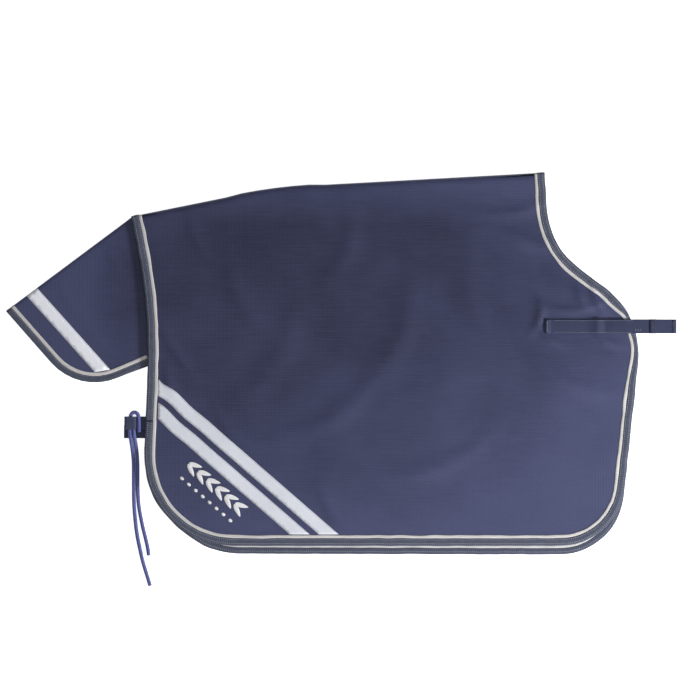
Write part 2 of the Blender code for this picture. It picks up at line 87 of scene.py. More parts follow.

# %% [markdown]
# ## Tail cords
# Two braided cords hang from a webbing loop on the rear edge. Each is a thin tube of fixed length along a
# given route: through the loop, down to the floor and along it. A mesh tube with its own UV map lets the
# braid follow the cord. The route is the one that the solids were made on.

# %% Helpers for paths
def smooth_route(route, steps):
    """Catmull-Rom points through a route."""
    route = [np.array(p, float) for p in route]
    padded = [2 * route[0] - route[1]] + route + [2 * route[-1] - route[-2]]
    points = []
    for a, b, c, d in zip(padded, padded[1:], padded[2:], padded[3:]):
        for k in range(steps):
            t = k / steps
            points.append(0.5 * (2 * b + (c - a) * t + (2 * a - 5 * b + 4 * c - d) * t**2
                                 + (3 * b - a - 3 * c + d) * t**3))
    return np.array(points + [route[-1]])


def lengths(points):
    """Distance along a path at each of its points."""
    return np.concatenate([[0.0], np.cumsum(np.linalg.norm(np.diff(points, axis=0), axis=1))])


def resample(points, step):
    """The same path with evenly spaced points."""
    along = lengths(points)
    count = max(2, round(along[-1] / step) + 1)
    at = np.linspace(0.0, along[-1], count)
    return np.stack([np.interp(at, along, column) for column in points.T], 1)


def relax(points, rounds):
    """Takes the small corners out of a path and keeps its ends."""
    points = points.copy()
    for _ in range(rounds):
        points[1:-1] = 0.25 * points[:-2] + 0.5 * points[1:-1] + 0.25 * points[2:]
    return points


def finish_mesh(name, verts, faces, uvs, material, smooth=True):
    """A mesh object with one UV per vertex, in metres, and its finish."""
    data = bpy.data.meshes.new(name)
    data.from_pydata([tuple(map(float, v)) for v in verts], [], faces)
    layer = data.uv_layers.new(name="metres")
    index = np.empty(len(data.loops), np.int32)
    data.loops.foreach_get("vertex_index", index)
    layer.data.foreach_set("uv", np.asarray(uvs, np.float32)[index].ravel())
    if smooth:
        data.shade_smooth()
    obj = bpy.data.objects.new(name, data)
    obj.data.materials.append(material)
    bpy.context.scene.collection.objects.link(obj)
    return obj


def skin(rings, count, flipped=False):
    """The faces that join rings of points, each ring to the next."""
    faces = []
    for start in range(0, (rings - 1) * count, count):
        for k in range(count):
            a, b = start + k, start + (k + 1) % count
            faces.append((b, a, a + count, b + count) if flipped else (a, b, b + count, a + count))
    return faces


def tube(name, path, radius, sides, material):
    """A round tube along a path, with closed, slightly domed ends."""
    steps = np.gradient(path, axis=0)
    steps /= np.linalg.norm(steps, axis=1)[:, None]
    side = np.cross(steps, (0.0, 0.0, 1.0))
    side /= np.linalg.norm(side, axis=1)[:, None]
    over = np.cross(side, steps)
    along = lengths(path)
    verts, uvs, faces = [], [], skin(len(path), sides)
    for i, centre in enumerate(path):
        for k in range(sides):
            a = 2 * math.pi * k / sides
            verts.append(centre + radius * (math.cos(a) * side[i] + math.sin(a) * over[i]))
            uvs.append((along[i], radius * a))
    dome = radius * 0.3
    for ring, tip in ((0, path[0] - steps[0] * dome), (len(path) - 1, path[-1] + steps[-1] * dome)):
        verts.append(tip)
        uvs.append((along[ring], 0.0))
        for k in range(sides):
            j = (k + 1) % sides
            face = (ring * sides + k, ring * sides + j, len(verts) - 1)
            faces.append(face[::-1] if ring == 0 else face)
    return finish_mesh(name, verts, faces, uvs, material)

# %% [markdown]
# ## Shared effects as node groups
# Every cloth here is woven, so the same few effects come back: a small grid of threads, straight ribs, a
# braid, and slow patches of colour. Each is a node group with its sizes in metres as inputs. The UV maps
# are in metres too, so a thread is the same size on every piece.

# %% Node helpers
def new_group(name, inputs, outputs):
    tree = bpy.data.node_groups.new(name, "ShaderNodeTree")
    for label, kind, value in inputs:
        socket = tree.interface.new_socket(label, in_out="INPUT", socket_type=kind)
        if value is not None:
            socket.default_value = value
    for label in outputs:
        tree.interface.new_socket(label, in_out="OUTPUT", socket_type="NodeSocketFloat")
    return tree, tree.nodes.new("NodeGroupInput").outputs, tree.nodes.new("NodeGroupOutput").inputs


def plug(tree, socket, value):
    if isinstance(value, bpy.types.NodeSocket):
        tree.links.new(value, socket)
    else:
        socket.default_value = value


def math_node(tree, operation, *values):
    node = tree.nodes.new("ShaderNodeMath")
    node.operation = operation
    for socket, value in zip(node.inputs, values):
        plug(tree, socket, value)
    return node.outputs[0]


def split(tree, vector):
    node = tree.nodes.new("ShaderNodeSeparateXYZ")
    plug(tree, node.inputs[0], vector)
    return node.outputs["X"], node.outputs["Y"]


def wave(tree, value, pitch):
    """1 on a thread's crown and 0 between threads, for threads a pitch apart."""
    turns = math_node(tree, "DIVIDE", value, pitch)
    angle = math_node(tree, "MULTIPLY", turns, 2 * math.pi)
    return math_node(tree, "MULTIPLY_ADD", math_node(tree, "SINE", angle), 0.5, 0.5)


def noise_node(tree, vector, scale, detail=2.0, roughness=0.5):
    node = tree.nodes.new("ShaderNodeTexNoise")
    plug(tree, node.inputs["Vector"], vector)
    plug(tree, node.inputs["Scale"], scale)
    plug(tree, node.inputs["Detail"], detail)
    plug(tree, node.inputs["Roughness"], roughness)
    return node.outputs[0]


VECTOR, FLOAT = "NodeSocketVector", "NodeSocketFloat"

# %% Group: ripstop weave
weave, given, out = new_group(
    "woven cloth",
    (("UV", VECTOR, None), ("Thread", FLOAT, 0.0006), ("Square", FLOAT, 0.005)),
    ("Height", "Grid", "Streak"),
)
STREAK_SCALE, GRID_SHARPNESS = 330.0, 14.0
u, v = split(weave, given["UV"])
stretched = weave.nodes.new("ShaderNodeVectorMath")
stretched.operation = "MULTIPLY"
plug(weave, stretched.inputs[0], given["UV"])
stretched.inputs[1].default_value = (0.05, 1.0, 1.0)
plug(weave, out["Streak"], noise_node(weave, stretched.outputs[0], STREAK_SCALE, 2.0, 0.6))
threads = math_node(weave, "MULTIPLY", wave(weave, u, given["Thread"]), wave(weave, v, given["Thread"]))
lines = math_node(weave, "MAXIMUM", wave(weave, u, given["Square"]), wave(weave, v, given["Square"]))
grid = math_node(weave, "POWER", lines, GRID_SHARPNESS)
plug(weave, out["Grid"], grid)
plug(weave, out["Height"], math_node(weave, "MULTIPLY_ADD", grid, 1.5, threads))

# %% Group: ribs
ribs, given, out = new_group(
    "ribs",
    (("UV", VECTOR, None), ("Pitch", FLOAT, 0.0012), ("Cross", FLOAT, 0.0008), ("Turn", FLOAT, 0.0)),
    ("Height", "Line"),
)
turned = ribs.nodes.new("ShaderNodeVectorRotate")
turned.rotation_type = "Z_AXIS"
plug(ribs, turned.inputs["Vector"], given["UV"])
plug(ribs, turned.inputs["Angle"], given["Turn"])
u, v = split(ribs, turned.outputs[0])
rib = wave(ribs, u, given["Pitch"])
plug(ribs, out["Line"], rib)
plug(ribs, out["Height"], math_node(ribs, "MULTIPLY_ADD", wave(ribs, v, given["Cross"]), 0.35, rib))

# %% Group: slow patches and flecks
patches, given, out = new_group(
    "patches", (("UV", VECTOR, None), ("Size", FLOAT, 0.12), ("Fleck", FLOAT, 0.002)), ("Patch", "Flecks")
)
slow = noise_node(patches, given["UV"], math_node(patches, "DIVIDE", 1.0, given["Size"]), 3.0, 0.55)
fine = noise_node(patches, given["UV"], math_node(patches, "DIVIDE", 1.0, given["Fleck"]), 2.0, 0.6)
plug(patches, out["Patch"], slow)
plug(patches, out["Flecks"], fine)

# %% Group: painted light and shade, lighter away from a dark place, along the rolled back and over the tail
painted_light_group, given, out = new_group(
    "sun fade",
    (("UV", VECTOR, None), ("Dark X", FLOAT, -0.10), ("Dark Y", FLOAT, 0.20), ("Across", FLOAT, 1.25),
     ("Down", FLOAT, 3.0), ("Ridge Y", FLOAT, 0.27), ("Ridge", FLOAT, 7.5), ("Tail X", FLOAT, -0.40),
     ("Tail", FLOAT, 6.5)),
    ("Fade",),
)
u, v = split(painted_light_group, given["UV"])


def squared_gap(value, middle):
    gap = math_node(painted_light_group, "ABSOLUTE", math_node(painted_light_group, "SUBTRACT", value, middle))
    return math_node(painted_light_group, "POWER", gap, 2.0)


def beyond(value, start):
    return math_node(painted_light_group, "MAXIMUM", math_node(painted_light_group, "SUBTRACT", value, start), 0.0)


painted_shading = math_node(painted_light_group, "MULTIPLY", squared_gap(u, given["Dark X"]), given["Across"])
for part, strength in ((squared_gap(v, given["Dark Y"]), "Down"), (beyond(v, given["Ridge Y"]), "Ridge"),
                       (beyond(given["Tail X"], u), "Tail")):
    painted_shading = math_node(painted_light_group, "MULTIPLY_ADD", part, given[strength], painted_shading)
plug(painted_light_group, out["Fade"], painted_shading)

# %% Group: braid
braid, given, out = new_group("braid", (("UV", VECTOR, None), ("Pitch", FLOAT, 0.0035)), ("Height",))
u, v = split(braid, given["UV"])
ahead = wave(braid, math_node(braid, "ADD", u, v), given["Pitch"])
behind = wave(braid, math_node(braid, "SUBTRACT", u, v), given["Pitch"])
plug(braid, out["Height"], math_node(braid, "MAXIMUM", ahead, behind))
print("groups:", len(bpy.data.node_groups))

# %% [markdown]
# ## Finishes
# Each finish is a Principled surface in its own material. The groups only feed its colour, roughness and
# bump. The ripstop is coated, so it has a soft sheen, while the grosgrain binding is matt and ribbed, and
# the reflective tape is pale with fine ribs.

# %% A finish from its groups
FLECKS, PAINTED_LIGHT_MIDDLE, RELIEF = 0.25, 0.33, 0.0004


def cloth_material(name, dark, light, roughness, group, sizes, bump, patch_size, sheen=0.0,
                   grid_tint=None, contrast=1.0, painted_light=0.0, streaks=0.0):
    """A Principled cloth between a dark and a light colour, with the relief of one pattern group."""
    material = bpy.data.materials.new(name)
    material.use_nodes = True
    tree = material.node_tree
    shader = tree.nodes["Principled BSDF"]
    uv = tree.nodes.new("ShaderNodeUVMap")
    uv.uv_map = "metres"
    pattern = tree.nodes.new("ShaderNodeGroup")
    pattern.node_tree = group
    slow = tree.nodes.new("ShaderNodeGroup")
    slow.node_tree = patches
    for node in (pattern, slow):
        tree.links.new(uv.outputs[0], node.inputs["UV"])
    for label, size in sizes.items():
        pattern.inputs[label].default_value = size
    slow.inputs["Size"].default_value = patch_size
    mixed = math_node(tree, "MULTIPLY_ADD", slow.outputs["Flecks"], FLECKS, slow.outputs["Patch"])
    level = math_node(tree, "SUBTRACT", mixed, 0.5 * FLECKS)
    level = math_node(tree, "MULTIPLY_ADD", math_node(tree, "SUBTRACT", level, 0.5), contrast, 0.5)
    # Painted light and shade on the ripstop: darkest at one place and lighter away from it, with a painted
    # highlight along the rolled back and a lighter tail flap.
    if painted_light:
        painted_shading = tree.nodes.new("ShaderNodeGroup")
        painted_shading.node_tree = painted_light_group
        tree.links.new(uv.outputs[0], painted_shading.inputs["UV"])
        level = math_node(tree, "SUBTRACT", level, PAINTED_LIGHT_MIDDLE)
        level = math_node(tree, "MULTIPLY_ADD", painted_shading.outputs["Fade"], painted_light, level)
    if streaks:
        level = math_node(tree, "MULTIPLY_ADD", pattern.outputs["Streak"], streaks,
                          math_node(tree, "SUBTRACT", level, 0.5 * streaks))
    ramp = tree.nodes.new("ShaderNodeMix")
    ramp.data_type = "RGBA"
    ramp.clamp_factor = True
    plug(tree, ramp.inputs["Factor"], level)
    ramp.inputs["A"].default_value = (*dark, 1.0)
    ramp.inputs["B"].default_value = (*light, 1.0)
    colour = ramp.outputs["Result"]
    if grid_tint is not None:
        tint = tree.nodes.new("ShaderNodeMix")
        tint.data_type = "RGBA"
        share, output, tint_colour = grid_tint
        plug(tree, tint.inputs["Factor"], math_node(tree, "MULTIPLY", pattern.outputs[output], share))
        tree.links.new(colour, tint.inputs["A"])
        tint.inputs["B"].default_value = (*tint_colour, 1.0)
        colour = tint.outputs["Result"]
    tree.links.new(colour, shader.inputs["Base Color"])
    uneven = math_node(tree, "MULTIPLY_ADD", slow.outputs["Flecks"], 0.2, roughness - 0.1)
    plug(tree, shader.inputs["Roughness"], uneven)
    shader.inputs["Specular IOR Level"].default_value = 0.25
    shader.inputs["Sheen Weight"].default_value = sheen
    shader.inputs["Sheen Roughness"].default_value = 0.5
    raised = tree.nodes.new("ShaderNodeBump")
    raised.inputs["Strength"].default_value = bump
    raised.inputs["Distance"].default_value = RELIEF
    tree.links.new(pattern.outputs["Height"], raised.inputs["Height"])
    tree.links.new(raised.outputs[0], shader.inputs["Normal"])
    return material


RIPSTOP = cloth_material("navy ripstop", (0.015, 0.017, 0.050), (0.048, 0.055, 0.125), 0.50, weave,
                         {"Thread": 0.0011, "Square": 0.0052}, 0.35, 0.16, 0.02,
                         grid_tint=(0.16, "Grid", (0.060, 0.066, 0.115)), painted_light=1.0, streaks=0.5)
LINING = cloth_material("brushed lining", (0.012, 0.014, 0.032), (0.024, 0.027, 0.058), 0.85, weave,
                        {"Thread": 0.0014, "Square": 0.012}, 0.5, 0.05, 0.05)
GROSGRAIN = cloth_material("grosgrain binding", (0.034, 0.040, 0.066), (0.072, 0.082, 0.122), 0.75, ribs,
                           {"Pitch": 0.0040, "Cross": 0.0030}, 0.9, 0.012, 0.02,
                           grid_tint=(0.45, "Line", (0.11, 0.12, 0.165)), contrast=1.6)
PIPING = cloth_material("grey piping", (0.47, 0.455, 0.45), (0.64, 0.625, 0.615), 0.65, ribs,
                        {"Pitch": 0.0011, "Cross": 0.0011, "Turn": 0.6}, 0.6, 0.05)
HOOK_TAPE = cloth_material("touch tape", (0.024, 0.026, 0.050), (0.040, 0.044, 0.078), 0.9, weave,
                           {"Thread": 0.0016, "Square": 0.02}, 1.0, 0.03, 0.02)
CORD = cloth_material("braided cord", (0.040, 0.048, 0.165), (0.095, 0.108, 0.300), 0.6, braid,
                      {"Pitch": 0.0036}, 1.0, 0.02, 0.02, grid_tint=(0.35, "Height", (0.14, 0.16, 0.38)))
SATIN = cloth_material("satin stitch", (0.66, 0.66, 0.68), (0.86, 0.86, 0.87), 0.45, ribs,
                       {"Pitch": 0.0009, "Cross": 0.004, "Turn": 0.716}, 1.0, 0.02)

# %% Finishes of one family
def reflective(name, dark, light):
    diagonal = {"Pitch": 0.0018, "Cross": 0.0018, "Turn": 0.785}
    return cloth_material(name, dark, light, 0.42, ribs, diagonal, 0.35, 0.08)


def webbing_finish(name, dark, light, roughness, pitch, patch_size, share, line):
    across = {"Pitch": pitch, "Cross": 0.0013, "Turn": math.pi / 2}
    return cloth_material(name, dark, light, roughness, ribs, across, 0.8, patch_size, 0.02,
                          grid_tint=(share, "Line", line))


def thread(name, dark, light, roughness=0.6):
    return cloth_material(name, dark, light, roughness, ribs, {"Pitch": 0.0005, "Cross": 0.0005}, 0.5, 0.01)


REFLECTIVE = reflective("reflective tape", (0.54, 0.56, 0.62), (0.68, 0.70, 0.76))
# The flap's tape is the reflective tape painted brighter, a painted highlight where it catches more light.
PAINTED_BRIGHT_REFLECTIVE = reflective("flap reflective tape", (0.68, 0.69, 0.75), (0.82, 0.83, 0.89))
WEBBING = webbing_finish("strap webbing", (0.018, 0.023, 0.061), (0.032, 0.039, 0.090), 0.6, 0.0018, 0.04,
                         0.22, (0.062, 0.073, 0.14))
# A darker copy of the strap webbing: painted shade on the band where the strap folds.
PAINTED_SHADE_WEBBING = webbing_finish("folded webbing", (0.013, 0.016, 0.043), (0.023, 0.028, 0.065), 0.65, 0.0018,
                              0.04, 0.22, (0.045, 0.052, 0.10))
LOOP_WEBBING = webbing_finish("loop webbing", (0.022, 0.028, 0.066), (0.044, 0.054, 0.110), 0.65, 0.0016,
                              0.02, 0.3, (0.09, 0.10, 0.14))
THREAD = thread("navy thread", (0.10, 0.11, 0.17), (0.20, 0.215, 0.28))
DARK_THREAD = thread("dark thread", (0.010, 0.012, 0.022), (0.020, 0.023, 0.040), 0.7)
SLATE_THREAD = thread("slate thread", (0.22, 0.24, 0.31), (0.34, 0.36, 0.43))
print("finishes:", len(bpy.data.materials))

# %% The two tail cords
LONG_CORD = (
    (-0.3936, -0.1323, 0.0168), (-0.3937, -0.1223, 0.0168), (-0.3938, -0.1123, 0.0169),
    (-0.3942, -0.1033, 0.0170), (-0.3960, -0.0973, 0.0171), (-0.4020, -0.0938, 0.0171),
    (-0.4080, -0.0968, 0.0171), (-0.4105, -0.1043, 0.0171), (-0.4114, -0.1153, 0.0171),
    (-0.4115, -0.1273, 0.0169), (-0.4107, -0.1393, 0.0160), (-0.4091, -0.1503, 0.0135),
    (-0.4073, -0.1623, 0.0104), (-0.4059, -0.1753, 0.0072), (-0.4049, -0.1893, 0.0048),
    (-0.4046, -0.2043, 0.0036), (-0.4046, -0.2243, 0.0035), (-0.4045, -0.2443, 0.0035),
    (-0.4043, -0.2643, 0.0035), (-0.4033, -0.2853, 0.0035), (-0.4015, -0.3053, 0.0035),
    (-0.3994, -0.3243, 0.0035), (-0.3962, -0.3433, 0.0035), (-0.3920, -0.3633, 0.0035),
    (-0.3873, -0.3833, 0.0035), (-0.3818, -0.4023, 0.0035), (-0.3760, -0.4208, 0.0035),
    (-0.3727, -0.4323, 0.0035),
)
SHORT_CORD = (
    (-0.4040, -0.1073, 0.0171), (-0.4040, -0.1173, 0.0171), (-0.4038, -0.1283, 0.0169),
    (-0.4029, -0.1393, 0.0160), (-0.4013, -0.1503, 0.0135), (-0.3995, -0.1623, 0.0104),
    (-0.3981, -0.1753, 0.0072), (-0.3973, -0.1893, 0.0048), (-0.3970, -0.2043, 0.0036),
    (-0.3970, -0.2243, 0.0035), (-0.3968, -0.2443, 0.0035), (-0.3959, -0.2633, 0.0035),
    (-0.3936, -0.2833, 0.0035), (-0.3899, -0.3033, 0.0035), (-0.3859, -0.3223, 0.0035),
    (-0.3811, -0.3413, 0.0035), (-0.3771, -0.3593, 0.0035), (-0.3752, -0.3733, 0.0035),
)
CORD_WIDTH, CORD_SIDES = 0.0075, 14


def tail_cord(name, route, node):
    """One limp braided cord, which rides the near half that its loop is sewn to."""
    path = relax(resample(smooth_route(route, 6), 0.002), 4)
    obj = tube(name, path, CORD_WIDTH / 2, CORD_SIDES, CORD)
    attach(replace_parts(obj, node), "near_body")


tail_cord("long_tail_cord", LONG_CORD, "tail_cord_long")
tail_cord("short_tail_cord", SHORT_CORD, "tail_cord_short")

# %% [markdown]
# ## Reading the frame
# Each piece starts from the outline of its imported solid, seen from above. The fold's axis comes from the
# record. The bound edge is the cloth's outline moved out by the tape's thickness.

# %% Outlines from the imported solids
def unit(v):
    v = np.asarray(v, float)
    return v / np.linalg.norm(v)


def plan_outline(node):
    """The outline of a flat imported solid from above, anticlockwise from its lowest corner."""
    mesh = bmesh.new()
    mesh.from_mesh(frame["nodes"][node].data)
    bmesh.ops.remove_doubles(mesh, verts=mesh.verts, dist=1e-6)
    mesh.normal_update()
    top = {face for face in mesh.faces if face.normal.z > 0.9}
    after = {}
    for face in top:
        for loop in face.loops:
            if not any(other in top for other in loop.edge.link_faces if other is not face):
                after[loop.vert] = loop.link_loop_next.vert
    start = here = min(after, key=lambda vert: (vert.co.y, vert.co.x))
    points = []
    while True:
        points.append((here.co.x, here.co.y))
        here = after[here]
        if here is start:
            break
    mesh.free()
    return np.array(points)


def inward(points, distance):
    """An open path moved to its left, which is inwards on a path that runs anticlockwise."""
    steps = np.diff(points, axis=0)
    normals = np.stack([-steps[:, 1], steps[:, 0]], 1) / np.hypot(*steps.T)[:, None]
    joined = np.vstack([normals[:1], normals[:-1] + normals[1:], normals[-1:]])
    joined /= np.hypot(*joined.T)[:, None]
    lean = np.vstack([normals[:1], normals])
    return points + joined * distance / np.einsum("ij,ij->i", joined, lean)[:, None]


def inset_loop(loop, distance):
    """A closed outline moved inwards."""
    return inward(np.vstack([loop, loop[:1]]), distance)[:-1]


def clip(points, origin, normal, space=0.0):
    """The stretch of an open path on the side of a line that the normal points to."""
    side = (points - origin) @ normal - space
    kept = []
    for i, here in enumerate(points):
        if i and side[i] * side[i - 1] < 0:
            t = side[i - 1] / (side[i - 1] - side[i])
            kept.append(points[i - 1] + t * (here - points[i - 1]))
        if side[i] > 0:
            kept.append(here)
    return np.array(kept)


def opened(loop):
    """A closed outline as an open path that leaves out its longest side."""
    sides = np.linalg.norm(np.roll(loop, -1, 0) - loop, axis=1)
    return np.roll(loop, -(int(np.argmax(sides)) + 1), 0)


def distance_to(points, path):
    """Distance of each point from a path."""
    best = np.full(len(points), np.inf)
    for a, b in zip(path, path[1:]):
        step = b - a
        t = np.clip((points - a) @ step / (step @ step), 0.0, 1.0)
        best = np.minimum(best, np.linalg.norm(points - a - t[:, None] * step, axis=1))
    return best


fold = JOINTS["back_fold"]
DOCK = np.array(fold["pos_m"][:2])
FOLD_Z = fold["pos_m"][2]
FOLD_DIR = -unit(fold["axis"][:2])
FOLD_DOWN = np.array([FOLD_DIR[1], -FOLD_DIR[0]])
SEAM_DIR = -unit(JOINTS["off_flap_seam"]["axis"][:2])
SEAM_REAR = np.array([SEAM_DIR[1], -SEAM_DIR[0]])
FLAP_DIR = unit(JOINTS["flap_fold"]["axis"][:2])
FLAP_DOWN = np.array([-FLAP_DIR[1], FLAP_DIR[0]])
EDGE_OUT = 0.0015


def from_fold_line(loop, below):
    """The stretch of a closed outline on one side of the fold line."""
    inside = ((loop - DOCK) @ FOLD_DOWN > 0.0) == below
    first = next(i for i in range(len(loop)) if inside[i] and not inside[i - 1])
    rolled = np.roll(loop, -first, 0)
    return rolled[np.roll(inside, -first)]


OFF_CORNER, CORNER_TUCK, CORNER_REACH = np.array([-0.322, -0.328]), 0.0110, 0.10
BACK_FULLNESS = 0.0028


def tucked_corner(points):
    """The off half's rear corner, drawn in a little where it curls under the near half."""
    share = np.exp(-((np.linalg.norm(points - OFF_CORNER, axis=1) / CORNER_REACH) ** 2))
    return points + np.outer(share * CORNER_TUCK, unit([1.0, 1.0]))


def full_back(points):
    """The back line stands a little above the fold line, where the cloth is full over the croup."""
    along = (points[:, 0] - points[:, 0].min()) / np.ptp(points[:, 0])
    return points - np.outer(BACK_FULLNESS * np.sin(math.pi * along) ** 0.3, FOLD_DOWN)


NEAR_CUT = opened(plan_outline("near_shell"))
OFF_CUT = tucked_corner(from_fold_line(plan_outline("off_shell"), True))
BACK_LINE = full_back(from_fold_line(plan_outline("off_shell"), False))


def sewn_edge(cut, out, size, seed):
    """The bound edge outside a cut, smoothed and a little uneven, as a hand-guided seam is."""
    run = relax(resample(inward(cut, -out), 0.008), 3)
    steps = np.gradient(run, axis=0)
    normal = np.stack([-steps[:, 1], steps[:, 0]], 1) / np.hypot(*steps.T)[:, None]
    fine = [noise.noise((a / 0.045, seed, 0.0)) + 0.6 * noise.noise((a / 0.022, seed, 5.0))
            for a in lengths(run)]
    return run + normal * (np.array(fine) * size)[:, None]


NEAR_RUN = sewn_edge(NEAR_CUT, EDGE_OUT, 0.0011, 3.0)
NEAR_PIPE_RUN = sewn_edge(NEAR_CUT, EDGE_OUT, 0.0014, 11.0)
OFF_RUN = sewn_edge(OFF_CUT, EDGE_OUT, 0.0009, 7.0)
print("near edge", round(lengths(NEAR_RUN)[-1], 3), "m, off edge", round(lengths(OFF_RUN)[-1], 3), "m")

# %% [markdown]
# ## Cloth as a fine sheet
# A cut of cloth is a fine triangle mesh with a real thickness, cut to its outline and lifted by a height
# function. All pieces of the near half share one lift, so tapes and stitches follow the cloth under them.
# The lift is soft, since the lining and the bindings hold the cloth, with sharper creases by the strap.

# %% The cloth builder
def inside(points, loop):
    """Which points lie inside a closed outline."""
    x, y = points.T
    found = np.zeros(len(points), bool)
    for (ax, ay), (bx, by) in zip(loop, np.roll(loop, -1, 0)):
        crosses = (ay > y) != (by > y)
        with np.errstate(divide="ignore", invalid="ignore"):
            found ^= crosses & (x < (bx - ax) * (y - ay) / (by - ay) + ax)
    return found


def fine_outline(loop, step):
    """A closed outline with extra points on its long sides."""
    points = []
    for a, b in zip(loop, np.roll(loop, -1, 0)):
        parts = max(1, round(float(np.linalg.norm(b - a)) / step))
        points += [a + (b - a) * k / parts for k in range(parts)]
    return np.array(points)


def cloth(name, loop, step, top, thick, material, rings=(), drift=None):
    """A sheet cut to an outline. Top gives its upper face's height, and drift moves it in its plane."""
    edge = fine_outline(loop, step)
    ring = np.vstack([edge, edge[:1]])
    low, high = loop.min(0), loop.max(0)
    xs, ys = np.meshgrid(np.arange(low[0], high[0], step), np.arange(low[1], high[1], step))
    xs[::2] += step / 2
    grid = np.stack([xs.ravel(), ys.ravel()], 1)
    grid = grid[inside(grid, loop)]
    away = distance_to(grid, ring)
    grid = grid[away > max((0.6 * step, *[r + 0.4 * step for r in rings]))]
    extra = [inward(ring, r)[:-1] for r in rings]
    extra = [e[inside(e, loop)] for e in extra]
    flat = np.vstack([edge, *extra, grid])
    result = delaunay_2d_cdt([tuple(p) for p in flat], [], [list(range(len(edge)))], 1, 1e-7)
    plan, faces = np.array([tuple(v) for v in result[0]]), [list(f) for f in result[2]]
    cut = plan
    if drift:
        plan = plan + drift(plan)
    heights = top(plan)
    count = len(plan)
    verts = np.vstack([np.column_stack([plan, heights]), np.column_stack([plan, heights - thick])])
    sides = dict.fromkeys((a, b) for face in faces for a, b in zip(face, face[1:] + face[:1]))
    rim = [(a, b) for a, b in sides if (b, a) not in sides]
    faces = faces + [[v + count for v in f[::-1]] for f in faces]
    faces += [[b, a, a + count, b + count] for a, b in rim]
    return finish_mesh(name, verts, faces, np.vstack([cut, cut]), material)


def ripple(points, length, seed, stretch=(1.0, 1.0)):
    """Smooth random waves, about -1 to 1, of a wavelength."""
    x, y = points[:, 0] / (length * stretch[0]), points[:, 1] / (length * stretch[1])
    return np.array([noise.noise((a, b, seed)) for a, b in zip(x, y)])


def smoothstep(value, low, high):
    t = np.clip((value - low) / (high - low), 0.0, 1.0)
    return t * t * (3 - 2 * t)


STRAP_LOW, STRAP_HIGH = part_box("near_strap_sewn")
STRAP_Y = (STRAP_LOW.y + STRAP_HIGH.y) / 2


def turned(points, degrees):
    a = math.radians(degrees)
    return points @ np.array([[math.cos(a), -math.sin(a)], [math.sin(a), math.cos(a)]])


NEAR_FOLDS = (
    # middle X and Y (m), direction (degrees), length, width (m), height (mm)
    (0.467, 0.124, -58, 0.050, 0.0080, 3.6), (0.497, 0.122, -62, 0.055, 0.0080, 4.2),
    (0.387, 0.092, 78, 0.060, 0.0090, 3.8), (0.405, 0.048, -36, 0.055, 0.0070, 3.2),
    (0.512, 0.046, -34, 0.060, 0.0070, 3.8), (0.450, 0.104, 3, 0.130, 0.0060, 2.4),
    (0.545, 0.098, -50, 0.060, 0.0090, 1.4), (0.432, 0.150, -40, 0.110, 0.0120, 2.6),
    (-0.334, -0.041, -62, 0.055, 0.0085, 2.8), (-0.219, -0.130, -46, 0.100, 0.0100, 2.2),
    (-0.300, -0.005, -44, 0.080, 0.0080, 2.3), (-0.330, 0.030, -55, 0.070, 0.0090, 2.2),
    (-0.012, -0.299, -46, 0.090, 0.0120, 2.8), (0.349, 0.241, -20, 0.160, 0.0140, 2.8),
    (0.330, 0.292, 8, 0.150, 0.0120, 2.2), (0.427, -0.032, -30, 0.180, 0.0180, 3.4),
    (-0.275, 0.232, -56, 0.110, 0.0130, 2.8), (-0.197, 0.124, -60, 0.150, 0.0170, 3.0),
    (0.173, -0.207, 16, 0.230, 0.0200, 3.0), (-0.022, -0.110, 31, 0.220, 0.0230, 3.0),
    (0.120, 0.060, 70, 0.260, 0.0240, 2.6), (0.020, 0.250, 80, 0.160, 0.0200, 2.2),
    (0.260, 0.110, -70, 0.240, 0.0240, 2.4), (-0.120, 0.020, 62, 0.260, 0.0260, 2.4),
)
FLAP_FOLDS = (
    (-0.431, 0.183, -52, 0.090, 0.0100, 1.0), (-0.470, 0.040, -40, 0.080, 0.0100, 1.2),
    (-0.520, 0.110, -47, 0.100, 0.0130, 1.0),
)
# height (mm), direction (degrees), wavelength (m), seed, stretch along and across
NEAR_WAVES = ((1.3, 25, 0.14, 1.3, (1.6, 0.8)), (0.60, -30, 0.055, 4.1, (1.8, 0.7)),
              (0.16, 3, 0.018, 9.4, (4.0, 0.7)))
FLAP_WAVES = ((0.9, -38, 0.10, 2.6, (1.8, 0.7)), (0.12, -38, 0.018, 5.4, (4.0, 0.7)))


def folds(points, table):
    """Soft ridges, each a rounded fold that fades towards its ends."""
    total = np.zeros(len(points))
    for x, y, degrees, length, width, height in table:
        away = turned(points - np.array([x, y]), degrees)
        bend = away[:, 1] - 0.45 * away[:, 0] ** 2 / length
        total += height * np.exp(-((away[:, 0] / (length / 2)) ** 2) - (bend / width) ** 2)
    return total


def waves(points, table):
    """Random waves of several sizes laid over each other."""
    return sum(height * ripple(turned(points, degrees), length, seed, stretch)
               for height, degrees, length, seed, stretch in table)


def near_lift(points):
    """How far the near half lies above its lowest place."""
    points = np.asarray(points, float)[:, :2]
    return MM * np.clip(1.6 + waves(points, NEAR_WAVES) + folds(points, NEAR_FOLDS), 0.0, 8.0)


def flap_lift(points):
    """How far the tail flap's near half lies above its lowest place, nothing under the near half's edge."""
    points = np.asarray(points, float)[:, :2]
    away = smoothstep((points - DOCK) @ SEAM_REAR, 0.012, 0.06)
    return MM * away * np.clip(1.0 + waves(points, FLAP_WAVES) + folds(points, FLAP_FOLDS), 0.0, 3.6)


def flat_lift(points):
    return np.zeros(len(points))


def roll_off(points, edge, radius, drop):
    """How far the cloth falls where it turns over a folded edge."""
    t = np.clip(distance_to(points, edge) / radius, 0.0, 1.0)
    return drop * (1.0 - np.sqrt(1.0 - (1.0 - t) ** 2))

